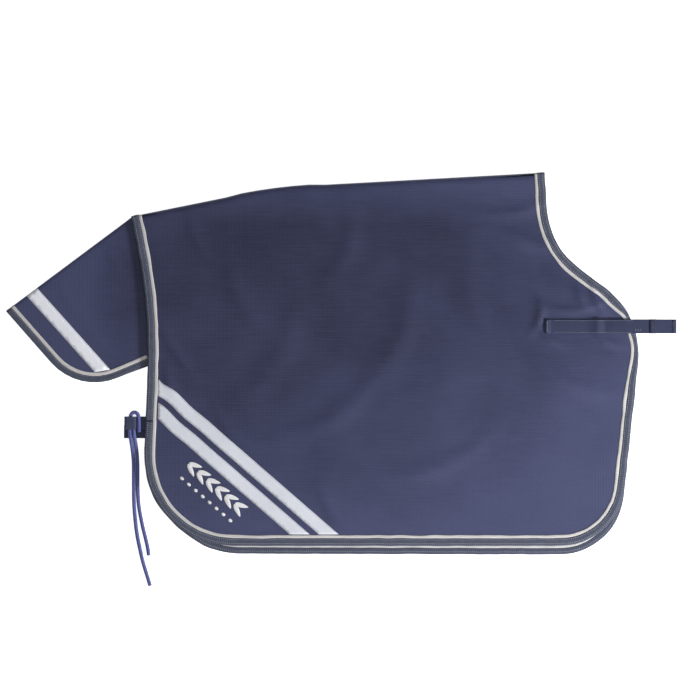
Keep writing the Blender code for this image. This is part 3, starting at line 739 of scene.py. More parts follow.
# %% [markdown]
# ## The two halves
# Each half is one cut of ripstop over a brushed lining. The two meet in the back seam on the folded edge,
# where the near cloth rolls over and down.


def over_the_fold(obj):
    """Bakes the piece's world placement into its mesh."""
    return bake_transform(obj)


NEAR_TOP, OFF_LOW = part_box("near_shell")[1].z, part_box("off_shell")[0].z
SPINE_DROP = NEAR_TOP - FOLD_Z - 0.0004
SPINE = np.vstack([NEAR_CUT[-1:], BACK_LINE, NEAR_CUT[:1]])
SHELL_THICK, ROLL = 0.0011, 0.011
EDGE_RINGS = (0.0008, 0.0018, 0.0032, 0.0050, 0.0075)


def near_top(points):
    lift = near_lift(points)
    return NEAR_TOP + lift - roll_off(points, SPINE, ROLL, 1.0) * (SPINE_DROP + lift)


def off_top(points):
    return OFF_LOW + SHELL_THICK + roll_off(points, SPINE, ROLL, FOLD_Z - OFF_LOW - SHELL_THICK - 0.0004)


near_loop = np.vstack([NEAR_CUT, BACK_LINE])
off_loop = np.vstack([OFF_CUT, BACK_LINE])
near_cloth = cloth("near_cloth", near_loop, 0.006, near_top, SHELL_THICK, RIPSTOP, EDGE_RINGS)
over_the_fold(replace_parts(near_cloth, "near_shell", "near_crown"))
off_cloth = cloth("off_cloth", off_loop, 0.012, off_top, SHELL_THICK, RIPSTOP, EDGE_RINGS)
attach(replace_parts(off_cloth, "off_shell"), "off_body")


def lining(name, node, loop, step, lift, body):
    low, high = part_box(node)
    obj = cloth(name, loop, step, lambda p: high.z - 0.0002 + lift(p), high.z - low.z - 0.0004, LINING)
    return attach(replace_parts(obj, node), body)


near_lining = lining("near_lining_cloth", "near_lining", NEAR_CUT, 0.012, near_lift, "near_body")
facing_loop = clip(inset_loop(near_loop, 0.006), DOCK + FOLD_DOWN * 0.031, -FOLD_DOWN)
spine_facing = cloth("spine_facing", facing_loop, 0.006, lambda p: near_top(p) - SHELL_THICK - 0.0003, 0.0006,
                     LINING)
over_the_fold(spine_facing)
off_lining_loop = clip(OFF_CUT, DOCK, FOLD_DOWN, 0.002)
off_lining = lining("off_lining_cloth", "off_lining", off_lining_loop, 0.016, flat_lift, "off_body")
print("near cloth", len(near_cloth.data.vertices), "points, off cloth", len(off_cloth.data.vertices))

# %% [markdown]
# ## Bindings and piping
# The edges are bound in grosgrain folded over the layers, and a pale piping lies along its inner edge. Both
# are a cross-section carried along the edge. The cross-section is rounded where the tape turns over.

# %% Tapes carried along an edge
BIND_WIDTH, PIPE_WIDTH, WALL = 0.0150, 0.0068, 0.0012
STRAP_EDGE = np.array([JOINTS["strap_turn"]["pos_m"][0], STRAP_Y])


# place from the strap's edge (m), reach (m), how much narrower (m)
DRAWN_IN = (((-0.004, 0.024), 0.024, 0.0094), ((0.0, -0.040), 0.045, 0.0066))


def drawn_in(run):
    """How much narrower the binding shows, where the edge turns under beside the strap."""
    return sum(narrower * np.exp(-((np.linalg.norm(run - STRAP_EDGE - place, axis=1) / reach) ** 2))
               for place, reach, narrower in DRAWN_IN)


def carry_along(name, run, profile, lift, material, step=0.004):
    """A closed profile of (inward distance, Z) carried along an edge, on a lifted cloth."""
    run = resample(run, step)
    out = inward(run, 1.0) - run
    narrow = drawn_in(run) if lift is near_lift else np.zeros(len(run))
    tracks = [run + out * (d - min(d / BIND_WIDTH, 1.0) * narrow)[:, None] for d, _ in profile]
    along = lengths(run)
    girth = lengths(np.array(profile + profile[:1]))
    rise = lift(run + out * np.mean([d for d, _ in profile]))
    count = len(profile)
    verts = [(*tracks[k][i], z + rise[i]) for i in range(len(run)) for k, (_, z) in enumerate(profile)]
    uvs = [(a, girth[k]) for a in along for k in range(count)]
    last = (len(run) - 1) * count
    ends = [tuple(range(count))[::-1], tuple(range(last, last + count))]
    return finish_mesh(name, verts, skin(len(run), count) + ends, uvs, material)


def folded_tape(low, high, width, wall):
    """Profile of a tape folded over an edge, with a round outer turn and a soft inner edge."""
    middle, half = (low + high) / 2, (high - low) / 2
    turn = [(1.6 * MM * (1 - math.sin(a)), middle + half * math.cos(a))
            for a in np.linspace(0.15, math.pi - 0.15, 9)]
    upper = [(width, high - wall), (width, high - 0.3 * MM), (width - 0.7 * MM, high),
             (0.4 * width, high + 0.1 * MM)]
    lower = [(0.4 * width, low), (width - 0.7 * MM, low), (width, low + 0.3 * MM), (width, low + wall)]
    return upper + turn + lower + [(1.7 * MM, low + wall), (1.7 * MM, high - wall)]


def half_round(start, width, low, height):
    """Profile of a strip with a domed top."""
    dome = [(start + width / 2 - width / 2 * math.cos(a), low + height * math.sin(a) ** 0.6)
            for a in np.linspace(0, math.pi, 9)]
    return [(start + width, low - 0.4 * MM)] + [(start, low - 0.4 * MM)] + dome


TOP_Z = 2 * FOLD_Z


def upside_down(profile):
    """A near half's profile turned over the fold, for the off half."""
    return [(d, TOP_Z - z) for d, z in profile][::-1]


bind = folded_tape(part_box("near_binding")[0].z, TOP_Z, BIND_WIDTH, WALL)
pipe = half_round(BIND_WIDTH - 0.0008, PIPE_WIDTH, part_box("near_piping")[0].z - 0.0002, 0.0012)
near_binding = carry_along("near_bound_edge", NEAR_RUN, bind, near_lift, GROSGRAIN)
over_the_fold(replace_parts(near_binding, "near_binding"))
near_piping = carry_along("near_piping_line", NEAR_PIPE_RUN, pipe, near_lift, PIPING)
over_the_fold(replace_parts(near_piping, "near_piping"))
off_binding = carry_along("off_bound_edge", OFF_RUN, upside_down(bind), flat_lift, GROSGRAIN)
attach(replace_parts(off_binding, "off_binding"), "off_body")
off_piping = carry_along("off_piping_line", OFF_RUN, upside_down(pipe), flat_lift, PIPING)
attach(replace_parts(off_piping, "off_piping"), "off_body")
inner_pipe = half_round(BIND_WIDTH - 0.0022, PIPE_WIDTH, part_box("off_binding")[1].z - 0.0004, 0.0009)
inner_piping = carry_along("off_inner_piping", OFF_RUN, inner_pipe, flat_lift, PIPING)
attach(inner_piping, "off_body")
print("bindings and piping along", round(lengths(NEAR_RUN)[-1] + lengths(OFF_RUN)[-1], 2), "m of edge")

# %% [markdown]
# ## Reflective tapes and embroidery
# Two reflective tapes cross the rear corner, and one crosses the tail flap. They are thin cloths that lie on
# the ripstop, a little proud of it, and follow its lift. The embroidery is a plain plait of leaves in satin
# stitch with a row of seeds under it, and both are raised and rounded.

# %% Tapes on the cloth
TAPE_PROUD, TAPE_THICK = 0.0007, 0.0006
TAPE_TOP = NEAR_TOP + TAPE_PROUD
TAPE_SEAM = 0.0016
PUCKER, PUCKER_FADE, PUCKER_WAVE, PUCKER_START = 0.0046, 0.055, 0.085, -2.2


def along_tape(node):
    loop = plan_outline(node)
    sides = np.roll(loop, -1, 0) - loop
    direction = unit(sides[np.argmax(np.linalg.norm(sides, axis=1))])
    return direction if direction[0] > 0 else -direction


TAPE_DIR = along_tape("near_strip_lower")
TAPE_UP = np.array([-TAPE_DIR[1], TAPE_DIR[0]])
strip_low, strip_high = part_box("near_strip_upper")
TAPE_REAR = np.array([strip_low.x, strip_high.y])


def pucker(points):
    """The tapes draw in and wave a little near the rear edge, where the cloth puckers."""
    s = (points - TAPE_REAR) @ TAPE_DIR
    size = PUCKER * np.exp(-np.clip(s, 0, None) / PUCKER_FADE) * smoothstep(s, -0.012, 0.018)
    return np.outer(size * np.sin(2 * math.pi * s / PUCKER_WAVE + PUCKER_START), TAPE_UP)


def tape(name, node, lift, top, body, step=0.006, drift=None, material=REFLECTIVE):
    """A flat tape on the cloth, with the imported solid's outline."""
    obj = cloth(name, plan_outline(node), step, lambda p: top + lift(p), TAPE_THICK, material,
                drift=drift)
    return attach(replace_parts(obj, node), body)


for level in ("lower", "upper"):
    tape(f"near_tape_{level}", f"near_strip_{level}", near_lift, TAPE_TOP, "near_body", 0.005, pucker)
    tape(f"off_tape_{level}", f"off_strip_{level}", flat_lift, OFF_LOW - 0.0003, "off_body", 0.02)
print("tapes lie", round(math.degrees(math.atan2(TAPE_DIR[1], TAPE_DIR[0])), 1), "degrees from the hem")

# %% Stitches
# pitch, length, width and height (m)
TAPE_STITCH = (0.0034, 0.0024, 0.0007, 0.0004)
BINDING_STITCH = (0.0042, 0.0026, 0.0009, 0.0004)
FLAP_BINDING_STITCH = (0.0036, 0.0024, 0.0008, 0.0004)
STRAP_ROOT_STITCH = (0.0029, 0.0022, 0.0010, 0.0005)
STRAP_SIDE_STITCH = (0.0036, 0.0022, 0.0006, 0.0004)
STRAP_END_STITCH = (0.0029, 0.0023, 0.0008, 0.0004)
STRAP_EDGE_STITCH = (0.0050, 0.0018, 0.0009, 0.0004)
BAR_STITCH = (0.0026, 0.0024, 0.0012, 0.0006)
# along the stitch, height above its base, width, each as a share
STITCH_SHAPE = ((-0.5, -0.4, 0.3), (-0.32, 0.75, 1.0), (0.32, 0.75, 1.0), (0.5, -0.4, 0.3))


def stitch_row(name, paths, kind, material):
    """Short raised stitches along paths, in one mesh."""
    pitch, length, width, height = kind
    verts, uvs, faces = [], [], []
    for path in paths:
        along = lengths(path)
        count = int(along[-1] / pitch)
        at = (np.arange(count) + 0.5) * pitch
        middle = np.stack([np.interp(at, along, c) for c in path.T], 1)
        ahead = np.stack([np.interp(at + 0.3 * pitch, along, c) for c in path.T], 1) - middle
        ahead /= np.linalg.norm(ahead, axis=1)[:, None]
        side = np.cross((0.0, 0.0, 1.0), ahead)
        for m, f, w in zip(middle, ahead, side):
            base = len(verts)
            up = np.array([0.0, 0.0, height])
            for reach, high, wide in STITCH_SHAPE:
                c = m + f * reach * length + up * (high - 0.2)
                half = w * wide * width / 2
                verts += [c - half, c + up * 0.3 * wide, c + half]
                uvs += [(reach * length, -width / 2), (reach * length, 0.0), (reach * length, width / 2)]
            for k in range(3):
                a = base + 3 * k
                faces += [(a, a + 3, a + 4, a + 1), (a + 1, a + 4, a + 5, a + 2)]
            faces += [(base, base + 1, base + 2), (base + 9, base + 11, base + 10)]
    return finish_mesh(name, verts, faces, uvs, material)


def on_cloth(plan, height, lift):
    plan = np.asarray(plan, float)
    return np.column_stack([plan, height + lift(plan)])


def long_sides(node, inset):
    """The two long sides of a four-sided tape, moved in from its edges."""
    loop = plan_outline(node)
    sides = np.roll(loop, -1, 0) - loop
    order = np.argsort(-np.linalg.norm(sides, axis=1))[:2]
    lines = []
    for i in order:
        a, b = loop[i], loop[i] + sides[i]
        across = np.array([-sides[i][1], sides[i][0]]) / np.linalg.norm(sides[i])
        lines.append(resample(np.array([a, b]) + across * inset, 0.004))
    return lines


rows = [on_cloth(line + pucker(line), TAPE_TOP, near_lift)
        for node in ("near_strip_lower", "near_strip_upper") for line in long_sides(node, TAPE_SEAM)]
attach(stitch_row("near_tape_stitches", rows, TAPE_STITCH, THREAD), "near_body")
seam = resample(NEAR_RUN, 0.004)
seam_out, seam_narrow = inward(seam, 1.0) - seam, drawn_in(seam)
rows = [on_cloth(seam + seam_out * (d * (1 - seam_narrow / BIND_WIDTH))[:, None], TOP_Z + 0.0001, near_lift)
        for d in (0.0045, 0.0122)]
over_the_fold(stitch_row("near_binding_stitches", rows, BINDING_STITCH, SLATE_THREAD))
rows = [on_cloth(resample(inward(OFF_RUN, 0.0055), 0.004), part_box("off_binding")[1].z + 0.0001, flat_lift)]
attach(stitch_row("off_binding_stitches", rows, BINDING_STITCH, SLATE_THREAD), "off_body")
print("binding seam", round(lengths(seam)[-1], 3), "m")

# %% The embroidered plait
def satin_shape(name, outline, height, top):
    """A raised, rounded patch of satin stitch inside an outline."""
    ring = np.vstack([outline, outline[:1]])
    half = distance_to(outline.mean(0)[None], ring)[0]

    def dome(points):
        t = np.clip(distance_to(points, ring) / half, 0.0, 1.0)
        return top + near_lift(points) + height * np.sqrt(1.0 - (1.0 - t) ** 2)
    obj = cloth(name, outline, 0.0018, dome, height + 0.0004, SATIN, (0.0005,))
    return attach(obj, "near_body")


def in_a_row(node, count, pitch):
    """Middles of shapes in a row along the tape's direction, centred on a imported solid."""
    middle = np.array([(a + b) / 2 for a, b in zip(*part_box(node))])[:2]
    return [middle + TAPE_DIR * pitch * (k - (count - 1) / 2) for k in range(count)]


def rounded(centre, axis, length, width, points, taper=0.0):
    """An oval outline, which a taper narrows towards its tip."""
    side = np.array([-axis[1], axis[0]])
    return np.array([centre + axis * length / 2 * math.cos(a)
                     + side * width / 2 * math.sin(a) * (1 - taper * math.cos(a))
                     for a in np.linspace(0, 2 * math.pi, points, endpoint=False)])


LEAVES, LEAF_LENGTH, LEAF_WIDTH, LEAF_PITCH = 6, 0.0270, 0.0088, 0.0238
LEAF_HEADING, LEAF_FROM_STEM, LEAF_HEIGHT = 25, 0.0064, 0.0008
SEEDS, SEED_LENGTH, SEED_WIDTH, SEED_PITCH, SEED_HEIGHT = 8, 0.0084, 0.0060, 0.0178, 0.0006
leaves, seeds = [], []
for k, place in enumerate(in_a_row("near_plait", LEAVES, LEAF_PITCH), 1):
    for sign, label in ((-1, "lower"), (1, "upper")):
        heading = math.radians(LEAF_HEADING * sign)
        axis = TAPE_DIR * math.cos(heading) + TAPE_UP * math.sin(heading)
        leaf = rounded(place + TAPE_UP * sign * LEAF_FROM_STEM, axis, LEAF_LENGTH, LEAF_WIDTH, 28, 0.35)
        leaves.append(satin_shape(f"near_leaf_{label}_{k}", leaf, LEAF_HEIGHT, NEAR_TOP + 0.0002))
for k, place in enumerate(in_a_row("near_plait_line", SEEDS, SEED_PITCH), 1):
    seed = rounded(place, TAPE_DIR, SEED_LENGTH, SEED_WIDTH, 20)
    seeds.append(satin_shape(f"near_seed_{k}", seed, SEED_HEIGHT, NEAR_TOP + 0.0002))
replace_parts(leaves[0], "near_plait")
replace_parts(seeds[0], "near_plait_line")
print("leaves:", len(leaves), "seeds:", len(seeds))

# %% [markdown]
# ## Tail flap
# The tail flap is sewn to the off half along its seam and folds in half like the rug. Its near cloth rolls
# over at the fold. Its root runs on under the near half's edge, so that no gap shows where the two meet.

# %% The flap's cloths
UNDER_EDGE = 0.013


def over_the_flap_fold(obj):
    """Bakes the piece's world placement into its mesh."""
    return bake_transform(obj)


def over_the_flap_seam(obj):
    """Bakes the piece's world placement into its mesh."""
    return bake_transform(obj)


def flap_loop(side, back=0.0):
    """The flap cloth's outline, carried up to the fold and in past its root."""
    loop = plan_outline(f"{side}_flap_shell")
    from_fold = (loop - DOCK) @ FLAP_DOWN
    at_fold = from_fold < 0.0015
    loop = loop - np.outer(np.where(at_fold, from_fold, 0.0), FLAP_DOWN)
    top, low = sorted(np.argsort(-loop[:, 0])[:2], key=lambda i: from_fold[i])
    loop[low] -= SEAM_REAR * back
    under = DOCK + FLAP_DOWN * back - SEAM_REAR * back
    at = max(top, low) if abs(int(top) - int(low)) == 1 else len(loop)
    return np.insert(loop, at, under, 0) if back else loop


FLAP_TOP, FLAP_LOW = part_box("near_flap_shell")[1].z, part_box("off_flap_shell")[0].z
near_flap_loop, off_flap_loop = flap_loop("near", UNDER_EDGE), flap_loop("off")
FLAP_EDGE = np.array([DOCK, DOCK + FLAP_DIR * 0.30])
FLAP_THICK, FLAP_ROLL, FLAP_RINGS = 0.0008, 0.006, (0.0008, 0.002, 0.004)


def near_flap_top(points):
    lift = flap_lift(points)
    return FLAP_TOP + lift - roll_off(points, FLAP_EDGE, FLAP_ROLL, 1.0) * (FLAP_TOP - FOLD_Z - 0.0003 + lift)


def off_flap_top(points):
    low = FLAP_LOW + FLAP_THICK
    return low + roll_off(points, FLAP_EDGE, FLAP_ROLL, FOLD_Z - low - 0.0003)


near_flap_cloth = cloth("near_flap_cloth", near_flap_loop, 0.005, near_flap_top, FLAP_THICK, RIPSTOP,
                        FLAP_RINGS)
over_the_flap_fold(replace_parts(near_flap_cloth, "near_flap_shell"))
off_flap_cloth = cloth("off_flap_cloth", off_flap_loop, 0.010, off_flap_top, FLAP_THICK, RIPSTOP,
                       FLAP_RINGS)
over_the_flap_seam(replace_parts(off_flap_cloth, "off_flap_shell"))
near_flap_lining_loop = inset_loop(near_flap_loop, 0.006)
near_flap_lining = cloth("near_flap_lining_cloth", near_flap_lining_loop, 0.008,
                         lambda p: near_flap_top(p) - FLAP_THICK - 0.0002, 0.0007, LINING)
over_the_flap_fold(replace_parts(near_flap_lining, "near_flap_lining"))
low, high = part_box("off_flap_lining")
off_flap_lining = cloth("off_flap_lining_cloth", plan_outline("off_flap_lining"), 0.012,
                        lambda p: np.full(len(p), high.z), high.z - low.z, LINING)
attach(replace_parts(off_flap_lining, "off_flap_lining"), "off_flap")

# %% The flap's edges, tape and stitches
def flap_run(node):
    """The flap's bound edge from the fold to the root."""
    loop = plan_outline(node)
    on_fold = (loop - DOCK) @ FLAP_DOWN < 0.0015
    tip = int(np.argmin(np.where(on_fold, loop[:, 0], 1.0)))
    rolled = np.roll(loop, -tip, 0)
    low = np.argsort(-rolled[:, 0])[:2]
    end = max(i for i in low if (rolled[i] - DOCK) @ FLAP_DOWN > 0.01)
    run = rolled[:end + 1]
    return inward(run, -0.0009)


FLAP_BIND, FLAP_WALL = 0.0125, 0.0006
near_flap_run, off_flap_run = flap_run("near_flap_shell"), flap_run("off_flap_shell")
onward = unit(near_flap_run[-1] - near_flap_run[-2])
near_flap_run = np.vstack([near_flap_run, near_flap_run[-1] + onward * 0.010])
low, high = (corner.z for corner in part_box("near_flap_binding"))
bind = folded_tape(low, high, FLAP_BIND, FLAP_WALL)
pipe = half_round(FLAP_BIND + 0.0002, PIPE_WIDTH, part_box("near_flap_piping")[0].z - 0.0001, 0.0011)
near_edge = carry_along("near_flap_bound_edge", near_flap_run, bind, flap_lift, GROSGRAIN)
over_the_flap_fold(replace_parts(near_edge, "near_flap_binding"))
near_line = carry_along("near_flap_piping_line", near_flap_run, pipe, flap_lift, PIPING)
over_the_flap_fold(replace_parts(near_line, "near_flap_piping"))
off_edge = carry_along("off_flap_bound_edge", off_flap_run, upside_down(bind), flat_lift, GROSGRAIN)
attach(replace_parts(off_edge, "off_flap_binding"), "off_flap")
off_line = carry_along("off_flap_piping_line", off_flap_run, upside_down(pipe), flat_lift, PIPING)
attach(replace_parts(off_line, "off_flap_piping"), "off_flap")
tape_top = FLAP_TOP + TAPE_PROUD
# The flap's tapes use the reflective tape painted brighter, as a painted highlight.
tape("near_flap_tape", "near_flap_strip", flap_lift, tape_top, "near_flap", material=PAINTED_BRIGHT_REFLECTIVE)
tape("off_flap_tape", "off_flap_strip", flat_lift, FLAP_LOW - 0.0001, "off_flap", 0.02,
     material=PAINTED_BRIGHT_REFLECTIVE)
rows = [on_cloth(line, tape_top, flap_lift) for line in long_sides("near_flap_strip", TAPE_SEAM)]
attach(stitch_row("near_flap_tape_stitches", rows, TAPE_STITCH, THREAD), "near_flap")
rows = [on_cloth(resample(inward(near_flap_run, 0.0110), 0.004), high + 0.0001, flap_lift)]
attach(stitch_row("near_flap_binding_stitches", rows, FLAP_BINDING_STITCH, SLATE_THREAD),
        "near_flap")
print("near flap", len(near_flap_cloth.data.vertices), "points")

# %% [markdown]
# ## Front strap, its landing, the cord loop and the back seam
# The webbings are flat. Each is a strip with rounded edges that follows a line. The front strap is sewn to
# the near half, climbs over the piping and ends free, with a touch patch under its tip. The back seam's
# allowance is turned in between the halves, and a tape covers it.

# %% Webbing
def webbing(name, line, across, width, thick, material, cuts=9):
    """A strip of webbing centred on a line, with its width across it."""
    line = np.asarray(line, float)
    across = unit(across)
    steps = np.gradient(line, axis=0)
    steps /= np.linalg.norm(steps, axis=1)[:, None]
    over = np.cross(steps, across)
    over /= np.linalg.norm(over, axis=1)[:, None]
    along = lengths(line)
    half_turn = np.linspace(0, math.pi, 5)
    profile = [(width / 2 - thick / 2 * (1 - math.sin(a)), thick / 2 * math.cos(a)) for a in half_turn]
    profile += [(width / 2 * u, -thick / 2) for u in np.linspace(0.9, -0.9, cuts)]
    profile += [(-width / 2 + thick / 2 * (1 - math.sin(a)), -thick / 2 * math.cos(a)) for a in half_turn]
    profile += [(width / 2 * u, thick / 2) for u in np.linspace(-0.9, 0.9, cuts)]
    count = len(profile)
    verts = [c + across * v + over[i] * z for i, c in enumerate(line) for v, z in profile]
    uvs = [(a, v) for a in along for v, _ in profile]
    last = (len(line) - 1) * count
    ends = [tuple(range(count)), tuple(range(last, last + count))[::-1]]
    return finish_mesh(name, verts, skin(len(line), count, flipped=True) + ends, uvs, material)


END_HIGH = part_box("near_strap_end")[1]
HINGE_X = JOINTS["strap_turn"]["pos_m"][0]
STRAP_WIDTH, STRAP_THICK = STRAP_HIGH.y - STRAP_LOW.y, 0.0014
RAMP_END = HINGE_X - 0.047


def strap_height(x):
    """Middle of the strap above the floor."""
    x = np.asarray(x, float)
    plan = np.column_stack([x, np.full(len(x), STRAP_Y)])
    plan[:, 0] = np.minimum(x, HINGE_X - 0.012)
    on_rug = np.max([near_lift(plan + [0.0, k * STRAP_WIDTH / 2]) for k in (-1, 0, 1)], axis=0)
    climb = smoothstep(x, RAMP_END - 0.016, RAMP_END)
    sewn = NEAR_TOP + 0.0012
    over_edge = END_HIGH.z - STRAP_THICK / 2 + 0.0004
    return sewn + (over_edge - sewn) * climb + on_rug


def strap_line(start, end, extra=0.0):
    x = np.arange(start, end + 1e-6, 0.003)
    return np.column_stack([x, np.full(len(x), STRAP_Y), strap_height(x) + extra])


def over_the_strap_turn(obj):
    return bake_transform(obj)


def flat_piece(name, line, width, thick, material):
    """A strip of webbing whose width runs from the back line to the hem."""
    return webbing(name, line, (0.0, 1.0, 0.0), width, thick, material)


strap = flat_piece("front_strap", strap_line(STRAP_LOW.x - 0.003, END_HIGH.x), STRAP_WIDTH, STRAP_THICK,
                   WEBBING)
over_the_strap_turn(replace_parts(strap, "near_strap_sewn", "near_strap_end"))
HEMS = (
    # name, start and end along X, how far raised, how much wider than the strap, thickness, webbing, body
    ("strap_tip_hem", END_HIGH.x - 0.0085, END_HIGH.x - 0.0006, 0.0006, -0.0008, 0.0012, WEBBING, "strap_end"),
    # the fold band is the strap webbing painted darker, as painted shade at the fold
    ("strap_fold_band", END_HIGH.x - 0.0535, END_HIGH.x - 0.0405, 0.0010, 0.0006, 0.0010, PAINTED_SHADE_WEBBING,
     "strap_end"),
    ("strap_root_hem", STRAP_LOW.x - 0.002, STRAP_LOW.x + 0.0085, 0.0006, -0.0008, 0.0012, WEBBING,
     "near_body"),
)
for name, start, end, raised, wider, thick, finish, body in HEMS:
    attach(flat_piece(name, strap_line(start, end, raised), STRAP_WIDTH + wider, thick, finish), body)
low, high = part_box("near_strap_hook")
hook_line = [(x, STRAP_Y, (low.z + high.z) / 2 + float(near_lift([(HINGE_X - 0.012, STRAP_Y)])[0]) + 0.0003)
             for x in np.linspace(low.x, high.x - 0.001, 8)]
hook = flat_piece("strap_hook_patch", hook_line, high.y - low.y, 0.0009, HOOK_TAPE)
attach(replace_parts(hook, "near_strap_hook"), "strap_end")
low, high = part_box("off_landing")
pad_line = [(x, (low.y + high.y) / 2, low.z + 0.0005) for x in np.linspace(low.x, high.x, 8)]
pad = flat_piece("loop_landing", pad_line, high.y - low.y, 0.0007, HOOK_TAPE)
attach(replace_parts(pad, "off_landing"), "off_body")
print("strap", round(END_HIGH.x - STRAP_LOW.x, 3), "m long,", round(STRAP_WIDTH, 4), "m wide")

# %% Strap stitches
def across_strap(x, inset=0.003):
    y = np.linspace(STRAP_Y - STRAP_WIDTH / 2 + inset, STRAP_Y + STRAP_WIDTH / 2 - inset, 9)
    z = float(strap_height([x])[0]) + STRAP_THICK / 2
    return np.column_stack([np.full(9, x), y, np.full(9, z)])


root_rows = [across_strap(STRAP_LOW.x + 0.0005) + [0, 0, 0.0006]]
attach(stitch_row("strap_root_stitches", root_rows, STRAP_ROOT_STITCH, SLATE_THREAD), "near_body")
x = np.arange(STRAP_LOW.x + 0.014, HINGE_X - 0.006, 0.003)
side_rows = [np.column_stack([x, np.full(len(x), STRAP_Y + s * (STRAP_WIDTH / 2 - 0.0022)),
                              strap_height(x) + STRAP_THICK / 2]) for s in (-1, 1)]
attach(stitch_row("strap_side_stitches", side_rows, STRAP_SIDE_STITCH, SLATE_THREAD), "near_body")
end_rows = [across_strap(END_HIGH.x - 0.0470, 0.001) + [0, 0, 0.0012],
            across_strap(END_HIGH.x - 0.0078) + [0, 0, 0.001]]
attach(stitch_row("strap_end_stitches", end_rows, STRAP_END_STITCH, THREAD), "strap_end")
dots = [np.array([(HINGE_X + a, STRAP_Y + b, float(strap_height([HINGE_X + a])[0]) + STRAP_THICK / 2)
                  for a in np.linspace(-0.004, 0.012, 5)]) for b in (-0.006, -0.0085)]
over_the_strap_turn(stitch_row("strap_edge_stitches", dots, STRAP_EDGE_STITCH, SLATE_THREAD))
print("rows across the strap:", len(root_rows + end_rows), "along it:", len(side_rows + dots))

# %% The bar of stitches over the loop's root
BAR_START = np.array([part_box("near_cord_loop")[1].x, -0.1115])
bar = BAR_START + [(-0.002, 0.001), (0.004, -0.0005), (0.0125, 0.0010)]
bars = [on_cloth(resample(bar + [0, k * 0.0009], 0.002), TOP_Z + 0.0003, near_lift) for k in (-1, 0, 1)]
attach(stitch_row("loop_bar_stitches", bars, BAR_STITCH, DARK_THREAD), "near_body")
print("bar rows:", len(bars))

# %% The cord loop and the tab behind it
LOOP_LOW, LOOP_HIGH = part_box("near_cord_loop")
LOOP_TAPE, LOOP_EDGE = 0.0011, 0.0179


def half_circle(centre, radius, start, end, count=12):
    angles = np.radians(np.linspace(start, end, count))
    return [(centre[0] + radius * math.cos(a), centre[1] + radius * math.sin(a)) for a in angles]


radius = (LOOP_HIGH.z - LOOP_LOW.z - LOOP_TAPE) / 2
middle = (LOOP_HIGH.z + LOOP_LOW.z) / 2
left, right = LOOP_LOW.x + radius + LOOP_TAPE / 2, LOOP_HIGH.x - 0.004 - LOOP_EDGE - radius
section = [(LOOP_HIGH.x, LOOP_LOW.z + LOOP_TAPE / 2), (right, LOOP_LOW.z + LOOP_TAPE / 2)]
section += half_circle((left, middle), radius, 270, 90) + half_circle((right, middle), radius, 90, -10)
loop_y = (LOOP_LOW.y + LOOP_HIGH.y) / 2
loop_line = resample(np.array([(x, loop_y, z) for x, z in section]), 0.0012)
loop = flat_piece("cord_loop", loop_line, LOOP_HIGH.y - LOOP_LOW.y, LOOP_TAPE, LOOP_WEBBING)
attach(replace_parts(loop, "near_cord_loop"), "near_body")
low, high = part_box("off_cord_tab")
tab_line = [(x, (low.y + high.y) / 2, (low.z + high.z) / 2) for x in np.linspace(low.x, high.x, 12)]
tab = flat_piece("cord_tab", tab_line, high.y - low.y, high.z - low.z - 0.0002, LOOP_WEBBING)
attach(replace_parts(tab, "off_cord_tab"), "off_body")
print("cord loop of", round(lengths(loop_line)[-1], 3), "m of webbing")

# %% The seam inside the fold
low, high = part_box("back_seam")
AHEAD = np.array([1.0, 0.0])
allowance = inward(clip(clip(BACK_LINE, AHEAD * low.x, AHEAD), AHEAD * high.x, -AHEAD), 0.0003)
folded_in = [(0.0008, low.z), (0.008, low.z + 0.0004), (0.008, high.z + 0.0016), (0.0008, high.z - 0.0012)]
turned_in = carry_along("back_seam_allowance", allowance, folded_in, flat_lift, LINING)
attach(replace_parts(turned_in, "back_seam"), "off_body")
seam_tape = [(0.0003, FOLD_Z - 0.0018), (0.0042, FOLD_Z - 0.0040), (0.0042, FOLD_Z + 0.0030),
             (0.0003, FOLD_Z + 0.0011)]
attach(carry_along("spine_tape", inward(SPINE, 0.0001), seam_tape, flat_lift, LINING), "off_body")
print("back seam", round(lengths(allowance)[-1], 3), "m")

# %% [markdown]
# ## Sheets and their flat sizes
# Every cut of cloth prints the rectangle it is cut from and the area of its real outline.

def flat_area(loop):
    x, y = loop.T
    return abs(float(np.sum(x * np.roll(y, -1) - y * np.roll(x, -1)))) / 2


LOOSE_CUT = 0.32


def declare(obj, loop):
    """The cut's rectangle follows the axes, or the flap's fold where that is the closer fit."""
    size = loop.max(0) - loop.min(0)
    if flat_area(loop) < LOOSE_CUT * size[0] * size[1]:
        flat = turned(loop, math.degrees(math.atan2(FLAP_DIR[1], FLAP_DIR[0])))
        size = flat.max(0) - flat.min(0)
    print(obj.name, "cut from", np.round(size, 3), "m, area", round(flat_area(loop), 4), "m2")


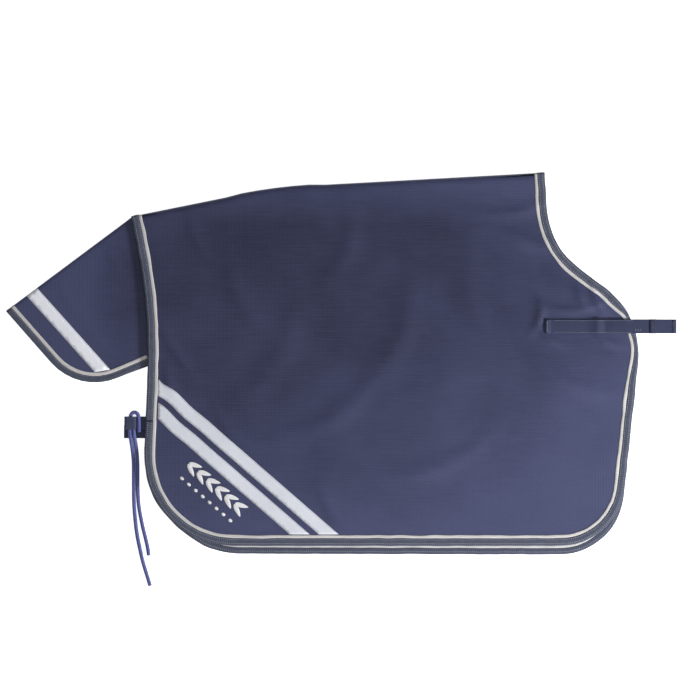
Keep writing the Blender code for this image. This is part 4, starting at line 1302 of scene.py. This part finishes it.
declare(near_cloth, near_loop)
declare(off_cloth, off_loop)
declare(near_lining, NEAR_CUT)
declare(off_lining, off_lining_loop)
declare(near_flap_cloth, near_flap_loop)
declare(off_flap_cloth, off_flap_loop)
declare(near_flap_lining, near_flap_lining_loop)
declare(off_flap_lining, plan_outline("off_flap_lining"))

# %% [markdown]
# ## Floor and light
# The rug lies on a plain, almost white floor. A wide soft light overhead gives the even look of a studio,
# and one low side light gives the weave and the waves a little shape.

# %% Floor, lights and finish
WHITE, FLOOR_GLOW, ROOM_LIGHT = (1.0, 1.0, 1.0, 1.0), 0.78, 0.27
bpy.ops.mesh.primitive_plane_add(size=12.0, location=(0.0, 0.0, -0.0008))
floor = bpy.context.object
floor.name = "floor"
paper = bpy.data.materials.new("white paper")
paper.use_nodes = True
tree = paper.node_tree
surface = tree.nodes["Principled BSDF"]
grain = noise_node(tree, tree.nodes.new("ShaderNodeTexCoord").outputs["Object"], 3.0, 3.0)
plug(tree, surface.inputs["Roughness"], math_node(tree, "MULTIPLY_ADD", grain, 0.1, 0.85))
surface.inputs["Base Color"].default_value = (0.93, 0.93, 0.93, 1.0)
surface.inputs["Emission Color"].default_value = WHITE
surface.inputs["Emission Strength"].default_value = FLOOR_GLOW
floor.data.materials.append(paper)


def soft_light(name, place, target, size, power):
    data = bpy.data.lights.new(name, "AREA")
    data.shape = "DISK"
    data.size = size
    data.energy = power
    light = bpy.data.objects.new(name, data)
    light.location = place
    aim = np.array(target, float) - np.array(place, float)
    light.rotation_euler = Vector(aim).to_track_quat("-Z", "Y").to_euler()
    bpy.context.scene.collection.objects.link(light)


soft_light("overhead", (0.1, -0.4, 3.2), (0.0, 0.0, 0.0), 3.0, 31.0)
soft_light("side", (2.6, -1.6, 1.25), (0.0, 0.05, 0.0), 0.6, 162.0)
world = bpy.data.worlds.new("studio")
world.use_nodes = True
world.node_tree.nodes["Background"].inputs["Color"].default_value = WHITE
world.node_tree.nodes["Background"].inputs["Strength"].default_value = ROOM_LIGHT
bpy.context.scene.world = world
bpy.context.scene.view_settings.view_transform = "Standard"
